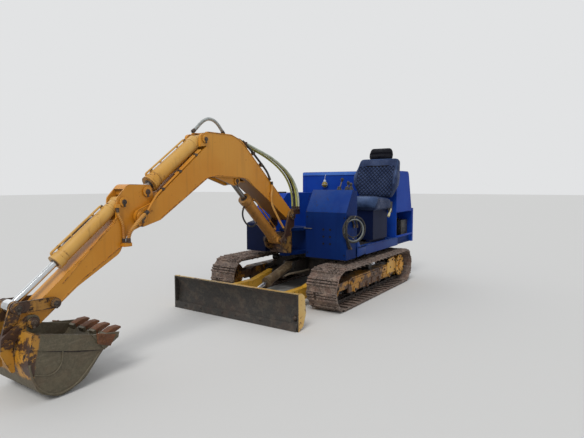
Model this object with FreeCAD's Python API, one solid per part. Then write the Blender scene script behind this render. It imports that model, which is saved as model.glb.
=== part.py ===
import FreeCAD, Part
import math
import os

# Mini excavator on steel tracks, open operator's station, one arm with a bucket, one dozer blade.
# All sizes are in mm. X is forward, Y is left, Z is up.
# The sketches below are written from the slew axis at ground level,
# and main() moves every piece back by MIDDLE_X, so that the plan middle is the origin.
MIDDLE_X = 1050

# Fits
PIN_PLAY = 0.1
SIDE_PLAY = 3
SEAT_GAP = 0.4

# Tracks and undercarriage
OVERALL_WIDTH = 1525
SHOE_WIDTH = 320
TRACK_Y = (OVERALL_WIDTH - SHOE_WIDTH) / 2
WHEELBASE = 1590
GROUSER_HEIGHT = 20
SHOE_THICKNESS = 9
LINK_HEIGHT = 46
LINK_WIDTH = 92
CHAIN_RADIUS = 130
TRACK_RADIUS = CHAIN_RADIUS + LINK_HEIGHT + SHOE_THICKNESS + GROUSER_HEIGHT
TRACK_TOP = 2 * TRACK_RADIUS
IDLER_X = WHEELBASE / 2
SHOE_COUNT = 42
GROUSER_TIP = 8
GROUSER_ROOT = 16
SHOE_GAP = 7
CHORD_SAG = 3
IDLER_RADIUS = CHAIN_RADIUS - CHORD_SAG
IDLER_WIDTH = 84
RIM_WIDTH = 50
SPROCKET_HUB_RADIUS = 98
SPROCKET_WIDTH = 42
SPROCKET_TEETH = 13
MOTOR_RADIUS = 86
MOTOR_LENGTH = 190
ROLLER_RADIUS = 58
ROLLER_AXLE = 14
ROLLER_Z = TRACK_RADIUS - CHAIN_RADIUS + ROLLER_RADIUS + SEAT_GAP
IDLER_AXLE = 18
CARRIER_RADIUS = 36
FRAME_WIDTH = 130
FRAME_BOTTOM = 118
FRAME_TOP = 262
FRAME_REAR = -IDLER_X + 185
FRAME_FRONT = IDLER_X - 235
ROLLER_COUNT = 4
ROLLER_MARGIN = 130
ROLLER_PITCH = (FRAME_FRONT - FRAME_REAR - 2 * ROLLER_MARGIN) / (ROLLER_COUNT - 1)
ROLLER_XS = [FRAME_REAR + ROLLER_MARGIN + i * ROLLER_PITCH for i in range(ROLLER_COUNT)]

# Centre frame and slew ring
CENTRE_BOTTOM = 190
CENTRE_TOP = 395
CENTRE_LENGTH = 660
CENTRE_WIDTH = 620
LEG_LENGTH = 170
TOW_EYE_X = -CENTRE_LENGTH / 2 - 70
TOW_EYE_Z = 250
TOW_EYE_THICKNESS = 25
TOW_EYE_RADIUS = 18
SLEW_RING_RADIUS = 300
SLEW_RING_HEIGHT = 62
SLEW_BORE = 210
DECK_BOTTOM = CENTRE_TOP + SLEW_RING_HEIGHT + SEAT_GAP

# Blade
BLADE_PIVOT = (500, 225)
BLADE_ARM_Y = 320
BLADE_ARM_WIDTH = 70
BLADE_X = 1541
BLADE_WIDTH = 1432
BLADE_HEIGHT = 305
BLADE_PLATE = 14
BLADE_CURVE = 55
BLADE_LUG_X = 1395
BLADE_LUG_Z = 120
BLADE_LUG_HALF = 30
BLADE_TUBE = (1180, 98)
BLADE_TUBE_RADIUS = 34
BLADE_BASE = (600, 345)
BLADE_BARREL_RADIUS = 45

# Boom and its linkage, seen from the side as (x, z)
SWING_X = 680
BOOM_FOOT = (730, 870)
BOOM_CYLINDER_BASE = (863, 632)
BOOM_CYLINDER_EYE = (1512, 1212)
ARM_PIVOT = (2530, 960)
ARM_CYLINDER_BASE = (1915, 1535)
ARM_CYLINDER_EYE = (2460, 1130)
BUCKET_CYLINDER_BASE = (2650, 1065)
BUCKET_BARREL_RADIUS = 43
BOOM_BARREL_RADIUS = 52
ARM_BARREL_RADIUS = 56
LINK_PIVOT = (3145, 500)
LINK_EYE = (3345, 512)
BUCKET_PIN = (3270, 415)
EAR_PIN = (3400, 330)
HOSE_RADIUS = 10
GUARD_RADIUS = 14
PIPE_RADIUS = 8
# Each hose over the boom's back: lift over the lowest, y
BOOM_HOSES = ((0, 38), (10, 14), (22, -12), (12, -38))
MANIFOLD_TOP = 930
ARM_PORT_TOP = 796
ARM_BOSS_FOOT = 1030
BOOM_WIDTH = 180
BOOM_WALL = 10
ARM_WIDTH = 120
PIN_RADIUS = 20
ROD_EYE_HALF = 36
KING_PIN_RADIUS = 30
BUCKET_WIDTH = 440
BUCKET_WALL = 10
BUCKET_LIP_WAY = (-0.96, 0.28)
BUCKET_TOOTH_YS = (-168, -56, 56, 168)
EAR_THICKNESS = 18
LINK_ROOM = 78
LINK_ROOM_STEP = 30

# Upper structure, turning on the slew ring
LEFT_SIDE = 690
CONSOLE_SET_IN = 8
SKIRT_THICKNESS = 8
SKIRT_FRONT = 215
SKIRT_DROP = 85
RIGHT_SIDE = -620
DECK_TOP = 545
FLOOR_THICKNESS = 10
FLOOR_TOP = DECK_TOP + FLOOR_THICKNESS
DECK_FRONT = 430
HOOD_FRONT = -630
HOOD_TOP = 1345
HOOD_SILL = 850
HOOD_WALL = 12
HOOD_REAR = -1165
TAIL_TOP = 880
TAIL_FRONT = -1180
TAIL_CORNER = -1290
TAIL_REAR = -1345
TAIL_ROUND = 90
TAIL_BOW = 1500
DOOR_GAP = 5
DOOR_TOP = 1262
DOOR_FOOT = 866
DOOR_MARGIN = 60
HOOD_CREST = -1030
DOOR_HINGE = (HOOD_CREST + (HOOD_REAR - HOOD_CREST) * (HOOD_TOP - DOOR_TOP) / (HOOD_TOP - HOOD_SILL), DOOR_TOP)
HINGE_RADIUS = 9
HINGE_RISE = 9.5
HINGE_PIN = 5
HINGE_YS = (-300, 370)
CONSOLE_RIGHT = 225
CONSOLE_FRONT = 645
CONSOLE_BACK = 415
CONSOLE_KNEE = 905
CONSOLE_TOP = 1130
CONSOLE_RIDGE = 505
CONSOLE_HOLE_YS = (430, 505)
CONSOLE_HOLE_ZS = (600, 670, 740)
CONSOLE_HOLE_RADIUS = 9
# Each lever: x, y, lean to the left, height
LEVERS = ((478, 515, 28, 110), (452, 588, 8, 78), (470, 640, -6, 62))
LAMP_Y = -262
LAMP_Z = 1185
LAMP_RADIUS = 38
TANK_FRONT = 600
TANK_LEFT = -320
TANK_TOP = 1085
SEAT_X = -210
SEAT_Y = 478
SEAT_LEAN = 15
CUSHION_FOOT = 905
CUSHION_TOP = 1062
BACK_FOOT = 1010
BACK_RISE = 22
SEAT_RUNNER_Y = 135



def vector(x, y, z):
    return FreeCAD.Vector(x, y, z)


def block(x0, x1, y0, y1, z0, z1):
    return Part.makeBox(x1 - x0, y1 - y0, z1 - z0, vector(x0, y0, z0))


def rod(start, end, radius):
    """A round bar from one point to another."""
    a = vector(*start)
    b = vector(*end)
    return Part.makeCylinder(radius, (b - a).Length, a, b - a)


def pin_y(place, radius, half, middle=0):
    """A round bar along Y at a side-view place (x, z)."""
    x, z = place
    return rod((x, middle - half, z), (x, middle + half, z), radius)


def fuse(first, *others):
    whole = first.fuse(list(others)) if others else first
    return whole.removeSplitter()


def outline(corners, place):
    """A closed face through (a, b, radius) corners, each rounded by an arc where its radius isn't 0."""
    starts, ends, arcs = [], [], []
    for i, (a, b, radius) in enumerate(corners):
        here = vector(a, b, 0)
        before = vector(*corners[i - 1][:2], 0) - here
        after = vector(*corners[(i + 1) % len(corners)][:2], 0) - here
        before.normalize()
        after.normalize()
        if not radius:
            starts.append(here)
            ends.append(here)
            arcs.append(None)
            continue
        half = before.getAngle(after) / 2
        reach = radius / math.tan(half)
        inward = before + after
        inward.normalize()
        starts.append(here + before * reach)
        ends.append(here + after * reach)
        arcs.append(here + inward * (radius / math.sin(half) - radius))
    edges = []
    for i, middle in enumerate(arcs):
        a, b = place(starts[i]), place(ends[i])
        if middle is not None:
            edges.append(Part.Arc(a, place(middle), b).toShape())
        following = place(starts[(i + 1) % len(arcs)])
        if (following - b).Length > 1e-6:
            edges.append(Part.makeLine(b, following))
    return Part.Face(Part.Wire(edges))


def side_plate(corners, y0, y1):
    """A plate seen from the side: (x, z, radius) corners, from y0 to y1."""
    face = outline(corners, lambda p: vector(p.x, y0, p.y))
    return face.extrude(vector(0, y1 - y0, 0))


def front_plate(corners, x0, x1):
    """A plate seen from the front: (y, z, radius) corners, from x0 to x1."""
    face = outline(corners, lambda p: vector(x0, p.x, p.y))
    return face.extrude(vector(x1 - x0, 0, 0))


def flat_plate(corners, z0, z1):
    """A plate seen from above: (x, y, radius) corners, from z0 to z1."""
    face = outline(corners, lambda p: vector(p.x, p.y, z0))
    return face.extrude(vector(0, 0, z1 - z0))


def pipe(points, radius):
    """A hose or tube: straight runs joined by arcs as large as the shorter run allows."""
    path = [vector(*p) for p in points]
    edges = []
    start = path[0]
    for before, here, after in zip(path, path[1:], path[2:]):
        u = before - here
        w = after - here
        reach = 0.45 * min(u.Length, w.Length)
        u.normalize()
        w.normalize()
        half = u.getAngle(w) / 2
        bend = reach * math.tan(half)
        inward = u + w
        inward.normalize()
        enter = here + u * reach
        leave = here + w * reach
        middle = here + inward * (bend / math.sin(half) - bend)
        edges.append(Part.makeLine(start, enter))
        edges.append(Part.Arc(enter, middle, leave).toShape())
        start = leave
    edges.append(Part.makeLine(start, path[-1]))
    spine = Part.Wire(edges)
    profile = Part.Wire(Part.makeCircle(radius, path[0], path[1] - path[0]))
    return spine.makePipeShell([profile], True, True)


def side_pipe(table, y, radius):
    """A pipe from a table of side-view places (x, z), all at one y."""
    return pipe([(x, y, z) for x, z in table], radius)


def along(start, end, distance):
    """The side-view place at a distance from start toward end."""
    length = math.dist(start, end)
    t = distance / length
    return (start[0] + (end[0] - start[0]) * t, start[1] + (end[1] - start[1]) * t)


def at_y(place, y=0):
    return (place[0], y, place[1])


def point_on_track(distance, depth):
    """Where a point of the track's loop lies, by its way along the chain and its height over it.

    The loop starts at the front of the top run and goes backwards.
    """
    straight = WHEELBASE
    bend = math.pi * CHAIN_RADIUS
    radius = CHAIN_RADIUS + depth
    distance %= 2 * (straight + bend)
    if distance < straight:
        return (IDLER_X - distance, TRACK_RADIUS + radius)
    distance -= straight
    if distance < bend:
        angle = math.pi / 2 + distance / CHAIN_RADIUS
        return (-IDLER_X + radius * math.cos(angle), TRACK_RADIUS + radius * math.sin(angle))
    distance -= bend
    if distance < straight:
        return (-IDLER_X + distance, TRACK_RADIUS - radius)
    distance -= straight
    angle = -math.pi / 2 + distance / CHAIN_RADIUS
    return (IDLER_X + radius * math.cos(angle), TRACK_RADIUS + radius * math.sin(angle))


def track(side):
    """One closed loop: the shoes with three grousers each, and the chain that carries them."""
    loop = 2 * (WHEELBASE + math.pi * CHAIN_RADIUS)
    pitch = loop / SHOE_COUNT
    plate = LINK_HEIGHT + SHOE_THICKNESS
    tip = plate + GROUSER_HEIGHT
    outer = []
    inner = []
    for shoe in range(SHOE_COUNT):
        start = shoe * pitch
        inner.append(point_on_track(start, LINK_HEIGHT))
        outer.append(point_on_track(start, LINK_HEIGHT + SHOE_THICKNESS / 2))
        outer.append(point_on_track(start + SHOE_GAP / 2, plate))
        for grouser in range(3):
            middle = start + pitch * (grouser + 0.5) / 3
            outer.append(point_on_track(middle - GROUSER_ROOT / 2, plate))
            outer.append(point_on_track(middle - GROUSER_TIP / 2, tip))
            outer.append(point_on_track(middle + GROUSER_TIP / 2, tip))
            outer.append(point_on_track(middle + GROUSER_ROOT / 2, plate))
        outer.append(point_on_track(start + pitch - SHOE_GAP / 2, plate))
    y0 = side * TRACK_Y - SHOE_WIDTH / 2
    shoes = loop_band(outer, inner, y0, SHOE_WIDTH)
    steps = 2 * SHOE_COUNT
    top = [point_on_track(i * loop / steps, LINK_HEIGHT + SHOE_THICKNESS / 2) for i in range(steps)]
    low = [point_on_track(i * loop / steps, 0) for i in range(steps)]
    chain = loop_band(top, low, side * TRACK_Y - LINK_WIDTH / 2, LINK_WIDTH)
    return fuse(shoes, chain)


def loop_band(outer, inner, y0, width):
    """The band between two closed side-view polygons, extruded along Y."""
    faces = []
    for points in (outer, inner):
        corners = [vector(x, y0, z) for x, z in points]
        faces.append(Part.Face(Part.makePolygon(corners + corners[:1])))
    return faces[0].cut(faces[1]).extrude(vector(0, width, 0))


def track_frame(side):
    """The box beam between idler and drive, with the idler's yoke at its front."""
    y = side * TRACK_Y
    half = FRAME_WIDTH / 2
    corners = [
        (FRAME_REAR, FRAME_BOTTOM + 20, 0),
        (FRAME_REAR + 60, FRAME_BOTTOM, 0),
        (FRAME_FRONT, FRAME_BOTTOM, 0),
        (FRAME_FRONT, FRAME_TOP - 20, 30),
        (FRAME_FRONT - 60, FRAME_TOP, 30),
        (FRAME_REAR, FRAME_TOP, 0),
    ]
    beam = side_plate(corners, y - half, y + half)
    yokes = []
    for edge in (-1, 1):
        inner = y + edge * (IDLER_WIDTH / 2 + SIDE_PLAY)
        outer = inner + edge * 14
        plate = [
            (FRAME_FRONT - 40, TRACK_RADIUS - 38, 0),
            (IDLER_X, TRACK_RADIUS - 38, 37.9),
            (IDLER_X + 62, TRACK_RADIUS, 30),
            (IDLER_X, TRACK_RADIUS + 38, 37.9),
            (FRAME_FRONT - 40, TRACK_RADIUS + 38, 0),
        ]
        yokes.append(side_plate(plate, min(inner, outer), max(inner, outer)))
    pocket = block(
        FRAME_REAR + 60, FRAME_FRONT + 1, y - IDLER_WIDTH / 2 - 6, y + IDLER_WIDTH / 2 + 6,
        FRAME_BOTTOM - 1, ROLLER_Z + ROLLER_RADIUS + 6,
    )
    wheel_room = pin_y((IDLER_X, TRACK_RADIUS), IDLER_RADIUS + 12, IDLER_WIDTH / 2 + SIDE_PLAY, y)
    whole = fuse(beam.cut(pocket), *yokes).cut(wheel_room)
    for x in ROLLER_XS:
        whole = whole.cut(pin_y((x, ROLLER_Z), ROLLER_AXLE, FRAME_WIDTH, y))
    return whole.cut(pin_y((IDLER_X, TRACK_RADIUS), IDLER_AXLE, FRAME_WIDTH, y))


def idler(side):
    """The front wheel: a hub, a dished disc and a rim with one raised rail in its middle."""
    y = side * TRACK_Y
    centre = (IDLER_X, TRACK_RADIUS)
    rim = pin_y(centre, IDLER_RADIUS, RIM_WIDTH / 2, y).cut(
        pin_y(centre, IDLER_RADIUS - 24, RIM_WIDTH / 2, y)
    )
    disc = pin_y(centre, IDLER_RADIUS - 20, 9, y)
    hub = pin_y(centre, 42, IDLER_WIDTH / 2, y)
    axle = pin_y(centre, IDLER_AXLE, IDLER_WIDTH / 2 + SIDE_PLAY + 14 + 6, y)
    return fuse(rim, disc, hub, axle)


def sprocket(side):
    """The toothed drive wheel on its bolted cover."""
    y = side * TRACK_Y
    centre = (-IDLER_X, TRACK_RADIUS)
    points = []
    for tooth in range(SPROCKET_TEETH):
        for share, radius in ((-0.25, 0.80), (-0.12, 0.965), (0.12, 0.965), (0.25, 0.80)):
            angle = 2 * math.pi * (tooth + share) / SPROCKET_TEETH
            reach = radius * CHAIN_RADIUS
            points.append(
                (centre[0] + reach * math.cos(angle), centre[1] + reach * math.sin(angle), 0)
            )
    wheel = side_plate(points, y - SPROCKET_WIDTH / 2, y + SPROCKET_WIDTH / 2)
    outward = 1 if side > 0 else -1
    cover_a = y + outward * SPROCKET_WIDTH / 2
    cover_b = cover_a + outward * 55
    cover = rod((centre[0], cover_a, centre[1]), (centre[0], cover_b, centre[1]), SPROCKET_HUB_RADIUS)
    cap = rod((centre[0], cover_b, centre[1]), (centre[0], cover_b + outward * 18, centre[1]), 62)
    return fuse(wheel, cover, cap)


def drive_motor(side):
    """The travel motor between sprocket and track frame, on the frame's rear plate."""
    y = side * TRACK_Y
    inward = -1 if side > 0 else 1
    a = y + inward * (SPROCKET_WIDTH / 2)
    b = a + inward * MOTOR_LENGTH
    x, z = -IDLER_X, TRACK_RADIUS
    body = rod((x, a, z), (x, b, z), MOTOR_RADIUS)
    y0 = a + inward * 30
    y1 = y0 + inward * 18
    plate = [
        (x - 95, z - 60, 30),
        (x - 95, z + 60, 30),
        (x + 60, z + 92, 20),
        (FRAME_REAR, FRAME_TOP - 10, 0),
        (FRAME_REAR, FRAME_BOTTOM + 25, 0),
        (x + 60, z - 85, 20),
    ]
    holder = side_plate(plate, min(y0, y1), max(y0, y1))
    return fuse(body, holder)


def rollers(side):
    """Four bottom rollers and the carrier roller, each with its axle in the frame."""
    y = side * TRACK_Y
    solids = []
    z = ROLLER_Z
    for x in ROLLER_XS:
        wheel = pin_y((x, z), ROLLER_RADIUS, LINK_WIDTH / 2 - 10, y)
        groove = pin_y((x, z), ROLLER_RADIUS, 12, y).cut(pin_y((x, z), ROLLER_RADIUS - 14, 12, y))
        axle = pin_y((x, z), ROLLER_AXLE, FRAME_WIDTH / 2, y)
        solids.append(fuse(wheel.cut(groove), axle))
    return solids


def carrier_roller(side):
    y = side * TRACK_Y
    z = TRACK_RADIUS + CHAIN_RADIUS - CARRIER_RADIUS - SEAT_GAP
    wheel = pin_y((0, z), CARRIER_RADIUS, LINK_WIDTH / 2 - 8, y)
    inward = -1 if side > 0 else 1
    axle = rod((0, y, z), (0, y + inward * 90, z), 14)
    y0, y1 = sorted((y + inward * (LINK_WIDTH / 2), y + inward * 90))
    post = block(-22, 22, y0, y1, FRAME_TOP, z + 20)
    return fuse(wheel, axle, post)


def centre_frame():
    """The turntable box, its four legs to the track frames, and the lugs of the blade."""
    half = CENTRE_LENGTH / 2
    wide = CENTRE_WIDTH / 2
    body = flat_plate(
        [
            (-half, -wide, 60), (half, -wide, 60), (half, wide, 60), (-half, wide, 60),
        ],
        CENTRE_BOTTOM, CENTRE_TOP,
    )
    parts = [body]
    inner_edge = TRACK_Y - FRAME_WIDTH / 2
    for side in (-1, 1):
        for x in (-half, half - LEG_LENGTH):
            leg = front_plate(
                [
                    (side * (wide - 60), CENTRE_TOP - 20, 0),
                    (side * inner_edge, FRAME_TOP - 10, 0),
                    (side * inner_edge, FRAME_BOTTOM + 30, 0),
                    (side * (wide - 60), CENTRE_BOTTOM, 0),
                ],
                x, x + LEG_LENGTH,
            )
            parts.append(leg)
    x, z = BLADE_PIVOT
    reach = BLADE_ARM_WIDTH / 2 + SIDE_PLAY
    for side in (-1, 1):
        for edge in (-1, 1):
            y0 = side * BLADE_ARM_Y + edge * reach
            y1 = y0 + edge * 16
            lug = [
                (half - 40, z + 55, 0),
                (half - 40, z - 30, 0),
                (x + 38, z - 38, 37.9),
                (x + 38, z + 38, 37.9),
            ]
            parts.append(side_plate(lug, min(y0, y1), max(y0, y1)))
        parts.append(pin_y(BLADE_PIVOT, PIN_RADIUS, reach + 16 + 8, side * BLADE_ARM_Y))
    x, z = BLADE_BASE
    for edge in (-1, 1):
        y0 = edge * (BLADE_BARREL_RADIUS + SIDE_PLAY)
        y1 = y0 + edge * 16
        lug = [
            (half - 40, CENTRE_TOP - 5, 0),
            (half - 40, CENTRE_BOTTOM + 40, 0),
            (x + 30, z - 42, 30),
            (x + 40, z + 40, 37.9),
        ]
        parts.append(side_plate(lug, min(y0, y1), max(y0, y1)))
    parts.append(pin_y(BLADE_BASE, PIN_RADIUS, BLADE_BARREL_RADIUS + SIDE_PLAY + 16 + 6))
    parts.append(
        flat_plate(
            [
                (-half + 40, -60, 0),
                (TOW_EYE_X - 42, -42, 41.9),
                (TOW_EYE_X - 42, 42, 41.9),
                (-half + 40, 60, 0),
            ],
            TOW_EYE_Z - TOW_EYE_THICKNESS / 2, TOW_EYE_Z + TOW_EYE_THICKNESS / 2,
        )
    )
    tow_hole = rod((TOW_EYE_X, 0, CENTRE_BOTTOM), (TOW_EYE_X, 0, CENTRE_TOP), TOW_EYE_RADIUS)
    bore = rod((0, 0, CENTRE_BOTTOM - 1), (0, 0, CENTRE_TOP + 1), SLEW_BORE - 60)
    return fuse(*parts).cut(bore).cut(tow_hole)


def slew_ring():
    outer = rod((0, 0, CENTRE_TOP), (0, 0, CENTRE_TOP + SLEW_RING_HEIGHT), SLEW_RING_RADIUS)
    bore = rod((0, 0, CENTRE_TOP), (0, 0, CENTRE_TOP + SLEW_RING_HEIGHT), SLEW_BORE)
    return outer.cut(bore)


def blade_curve(depth, reach):
    """A full-width solid from the blade's curved line, moved back by depth, to the same line moved by reach."""
    half = BLADE_WIDTH / 2
    middle = BLADE_HEIGHT / 2
    line = [(BLADE_X, 0), (BLADE_X - BLADE_CURVE, middle), (BLADE_X, BLADE_HEIGHT)]
    front = [vector(x - depth, -half, z) for x, z in line]
    back = [vector(x - reach, -half, z) for x, z in line]
    edges = [
        Part.Arc(*front).toShape(),
        Part.makeLine(front[2], back[2]),
        Part.Arc(back[2], back[1], back[0]).toShape(),
        Part.makeLine(back[0], front[0]),
    ]
    return Part.Face(Part.Wire(edges)).extrude(vector(0, BLADE_WIDTH, 0))


def blade_board():
    """The curved mouldboard with its top roll, end flanges and the lift cylinder's lugs."""
    half = BLADE_WIDTH / 2
    top = BLADE_HEIGHT
    back = BLADE_X - BLADE_CURVE - BLADE_PLATE
    board = blade_curve(0, BLADE_PLATE)
    roll = rod((BLADE_X - 22, -half, top - 10), (BLADE_X - 22, half, top - 10), 14)
    flanges = []
    for side in (-1, 1):
        y0, y1 = sorted((side * half, side * (half - 14)))
        flange = [
            (BLADE_X - 4, 2, 0),
            (BLADE_X - 75, 30, 0),
            (BLADE_X - 118, 130, 60),
            (BLADE_X - 100, top - 30, 30),
            (BLADE_X - 60, top - 2, 0),
            (BLADE_X - 4, top - 2, 0),
        ]
        flanges.append(side_plate(flange, y0, y1))
    lugs = []
    for edge in (-1, 1):
        inner = BLADE_LUG_HALF + SIDE_PLAY
        y0, y1 = sorted((edge * inner, edge * (inner + 16)))
        lug = [
            (back + 30, 60, 0),
            (back + 30, 235, 0),
            (BLADE_LUG_X - 30, BLADE_LUG_Z + 38, 36),
            (BLADE_LUG_X - 34, BLADE_LUG_Z - 40, 36),
        ]
        lugs.append(side_plate(lug, y0, y1))
        y2 = edge * (inner + 16)
        lugs.append(rod((BLADE_LUG_X, y2, BLADE_LUG_Z), (BLADE_LUG_X, y2 + edge * 10, BLADE_LUG_Z), 24))
    face_room = blade_curve(-200, 1)
    return fuse(board, roll, *flanges, *[lug.cut(face_room) for lug in lugs])


def blade_edge():
    """The bolted cutting edge along the foot of the board's face."""
    half = BLADE_WIDTH / 2 - 16
    corners = [
        (BLADE_X - 1, 0, 0),
        (BLADE_X + 13, 4, 0),
        (BLADE_X - 8, 62, 0),
        (BLADE_X - 20, 60, 0),
    ]
    return side_plate(corners, -half, half).cut(blade_curve(0, BLADE_PLATE))


def blade_arms():
    """Two arms and the cross tube between them."""
    parts = []
    x, z = BLADE_PIVOT
    half = BLADE_ARM_WIDTH / 2
    back = BLADE_X - BLADE_CURVE - BLADE_PLATE
    for side in (-1, 1):
        y = side * BLADE_ARM_Y
        arm = [
            (x - 36, z - 36, 35.9),
            (x + 330, 80, 60),
            (back + 40, 70, 0),
            (back + 40, 200, 0),
            (x + 330, 190, 60),
            (x - 36, z + 36, 35.9),
        ]
        plate = side_plate(arm, y - half, y + half)
        hole = pin_y(BLADE_PIVOT, PIN_RADIUS + PIN_PLAY, half + 1, y)
        parts.append(plate.cut(hole))
    x, z = BLADE_TUBE
    parts.append(rod((x, -BLADE_ARM_Y, z), (x, BLADE_ARM_Y, z), BLADE_TUBE_RADIUS))
    return fuse(*parts).cut(blade_curve(-200, BLADE_PLATE))


def barrel(base, eye, radius, rod_radius, length, half, bore_start=60):
    """A cylinder's barrel: its base eye, its tube with a bore for the rod, and its gland nut."""
    end = along(base, eye, length)
    gland = along(base, eye, length - 42)
    tube_start = along(base, eye, 26)
    body = rod(at_y(tube_start), at_y(end), radius)
    nut = rod(at_y(gland), at_y(end), radius + 6)
    knuckle = pin_y(base, 36, half)
    start = along(base, eye, bore_start)
    bore = rod(at_y(start), at_y(along(base, eye, length + 1)), rod_radius + PIN_PLAY)
    whole = fuse(body, nut, knuckle)
    return whole.cut(bore).cut(pin_y(base, PIN_RADIUS + PIN_PLAY, half + 1))


def beside_barrel(base, eye, route):
    """Points given as distance from the base, height over the barrel's axis, y."""
    length = math.dist(base, eye)
    ux, uz = (eye[0] - base[0]) / length, (eye[1] - base[1]) / length
    points = []
    for distance, up, y in route:
        points.append((base[0] + ux * distance - uz * up, y, base[1] + uz * distance + ux * up))
    return points


def barrel_pipe(base, eye, radius, y, start, end):
    """The thin feed pipe along the top of a barrel, bent into it at both ends."""
    skin = math.sqrt(radius**2 - y**2) - 4
    route = [(start, skin, y), (start, radius + 16, y), (end, radius + 16, y), (end, skin, y)]
    return pipe(beside_barrel(base, eye, route), PIPE_RADIUS - 1)


def cylinder_rod(base, eye, rod_radius, inside, half):
    """A cylinder's rod, from a distance along the barrel to the eye on its far pin."""
    start = along(base, eye, inside)
    length = math.dist(base, eye)
    shaft = rod(at_y(start), at_y(along(base, eye, length - 12)), rod_radius)
    knuckle = pin_y(eye, 34, half)
    return fuse(shaft, knuckle)


def swing_post():
    """The casting that swings on the king pin and carries the boom and its cylinder."""
    x = SWING_X
    hub = rod((x, 0, 497), (x, 0, 700), 68)
    web = block(x + 30, x + 110, -80, 80, 497, 700)
    foot_x, foot_z = BOOM_FOOT
    base_x, base_z = BOOM_CYLINDER_BASE
    parts = [hub, web]
    inner = BOOM_WIDTH / 2 + SIDE_PLAY
    outer = inner + 22
    for edge in (-1, 1):
        plate = [
            (x + 66, 490, 0),
            (base_x + 10, base_z - 75, 40),
            (base_x + 48, base_z + 5, 40),
            (base_x - 20, base_z + 60, 40),
            (foot_x + 62, foot_z - 10, 50),
            (foot_x + 30, foot_z + 58, 40),
            (foot_x - 45, foot_z + 45, 44),
            (foot_x - 45, foot_z - 60, 30),
            (x + 10, 760, 20),
            (x + 66, 735, 0),
        ]
        y0, y1 = sorted((edge * inner, edge * outer))
        parts.append(side_plate(plate, y0, y1))
    parts.append(block(x + 66, x + 110, -outer, outer, 497, 640))
    parts.append(block(foot_x - 148, foot_x - 64, 18, outer, MANIFOLD_TOP - 50, MANIFOLD_TOP))
    parts.append(block(foot_x - 66, foot_x - 20, inner, outer, MANIFOLD_TOP - 90, MANIFOLD_TOP))
    parts.append(pin_y(BOOM_FOOT, PIN_RADIUS + 4, outer + 10))
    parts.append(pin_y(BOOM_CYLINDER_BASE, PIN_RADIUS, outer + 8))
    bore = rod((x, 0, 496), (x, 0, 701), KING_PIN_RADIUS + PIN_PLAY)
    return fuse(*parts).cut(bore)


def boom_corners():
    """The boom's side outline: foot, back, apex, front section, nose, belly."""
    foot_x, foot_z = BOOM_FOOT
    nose_x, nose_z = ARM_PIVOT
    return [
        (foot_x - 80, foot_z - 105, 49.5),
        (foot_x - 42, foot_z + 35, 30),
        (1180, 1315, 300),
        (1470, 1560, 120),
        (1600, 1600, 100),
        (1885, 1598, 8),
        (1900, 1480, 40),
        (nose_x - 95, nose_z + 95, 0),
        (nose_x + 72, nose_z + 30, 56),
        (nose_x + 20, nose_z - 76, 50),
        (2370, 930, 60),
        (1865, 1246, 160),
        (1430, 1236, 140),
    ]


def boom():
    """The cranked box boom: hollow, with the arm's fork cut in its nose."""
    half = BOOM_WIDTH / 2
    outer = side_plate(boom_corners(), -half, half)
    face = outline(boom_corners(), lambda p: vector(p.x, -half + BOOM_WALL, p.y))
    inner = face.makeOffset2D(-BOOM_WALL).extrude(vector(0, BOOM_WIDTH - 2 * BOOM_WALL, 0))
    nose_x, nose_z = ARM_PIVOT
    keep = block(BOOM_FOOT[0] + 150, nose_x - 240, -half, half, 600, 1700)
    hollow = inner.common(keep)
    fork = side_plate(
        [
            (nose_x - 215, nose_z + 320, 0),
            (nose_x + 170, nose_z + 320, 0),
            (nose_x + 170, nose_z - 200, 0),
            (nose_x - 115, nose_z - 200, 0),
        ],
        -ARM_WIDTH / 2 - SIDE_PLAY, ARM_WIDTH / 2 + SIDE_PLAY,
    )
    cylinder_room = side_plate(
        [
            (ARM_CYLINDER_BASE[0] - 75, ARM_CYLINDER_BASE[1] - 75, 20),
            (ARM_CYLINDER_BASE[0] + 120, ARM_CYLINDER_BASE[1] - 150, 0),
            (ARM_CYLINDER_BASE[0] + 120, ARM_CYLINDER_BASE[1] + 120, 0),
            (ARM_CYLINDER_BASE[0] - 75, ARM_CYLINDER_BASE[1] + 120, 0),
        ],
        -62, 62,
    )
    eye_x, eye_z = BOOM_CYLINDER_EYE
    eye_room = block(eye_x - 140, eye_x + 80, -42, 42, eye_z - 90, eye_z + 90)
    shell = outer.cut(hollow).cut(fork).cut(cylinder_room).cut(eye_room)
    parts = [shell]
    for edge in (-1, 1):
        y0, y1 = sorted((edge * 62, edge * half))
        ear = [
            (ARM_CYLINDER_BASE[0] - 60, ARM_CYLINDER_BASE[1] - 40, 0),
            (ARM_CYLINDER_BASE[0] + 46, ARM_CYLINDER_BASE[1] - 60, 0),
            (ARM_CYLINDER_BASE[0] + 46, ARM_CYLINDER_BASE[1] + 44, 40),
            (ARM_CYLINDER_BASE[0] - 60, ARM_CYLINDER_BASE[1] + 50, 0),
        ]
        parts.append(side_plate(ear, y0, y1))
        y0, y1 = sorted((edge * 42, edge * 60))
        bracket = [
            (eye_x - 60, eye_z + 60, 0),
            (eye_x - 38, eye_z - 30, 30),
            (eye_x + 30, eye_z - 40, 30),
            (eye_x + 250, eye_z + 26, 0),
            (eye_x + 250, eye_z + 60, 0),
        ]
        parts.append(side_plate(bracket, y0, y1))
        cap = sorted((edge * 60, edge * 68))
        parts.append(rod((eye_x, cap[0], eye_z), (eye_x, cap[1], eye_z), 24))
    parts.append(pin_y(ARM_CYLINDER_BASE, PIN_RADIUS, half + 8))
    parts.append(pin_y(ARM_PIVOT, PIN_RADIUS + 4, half + 8))
    return fuse(*parts).cut(pin_y(BOOM_FOOT, PIN_RADIUS + 4 + PIN_PLAY, half + 1))


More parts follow.
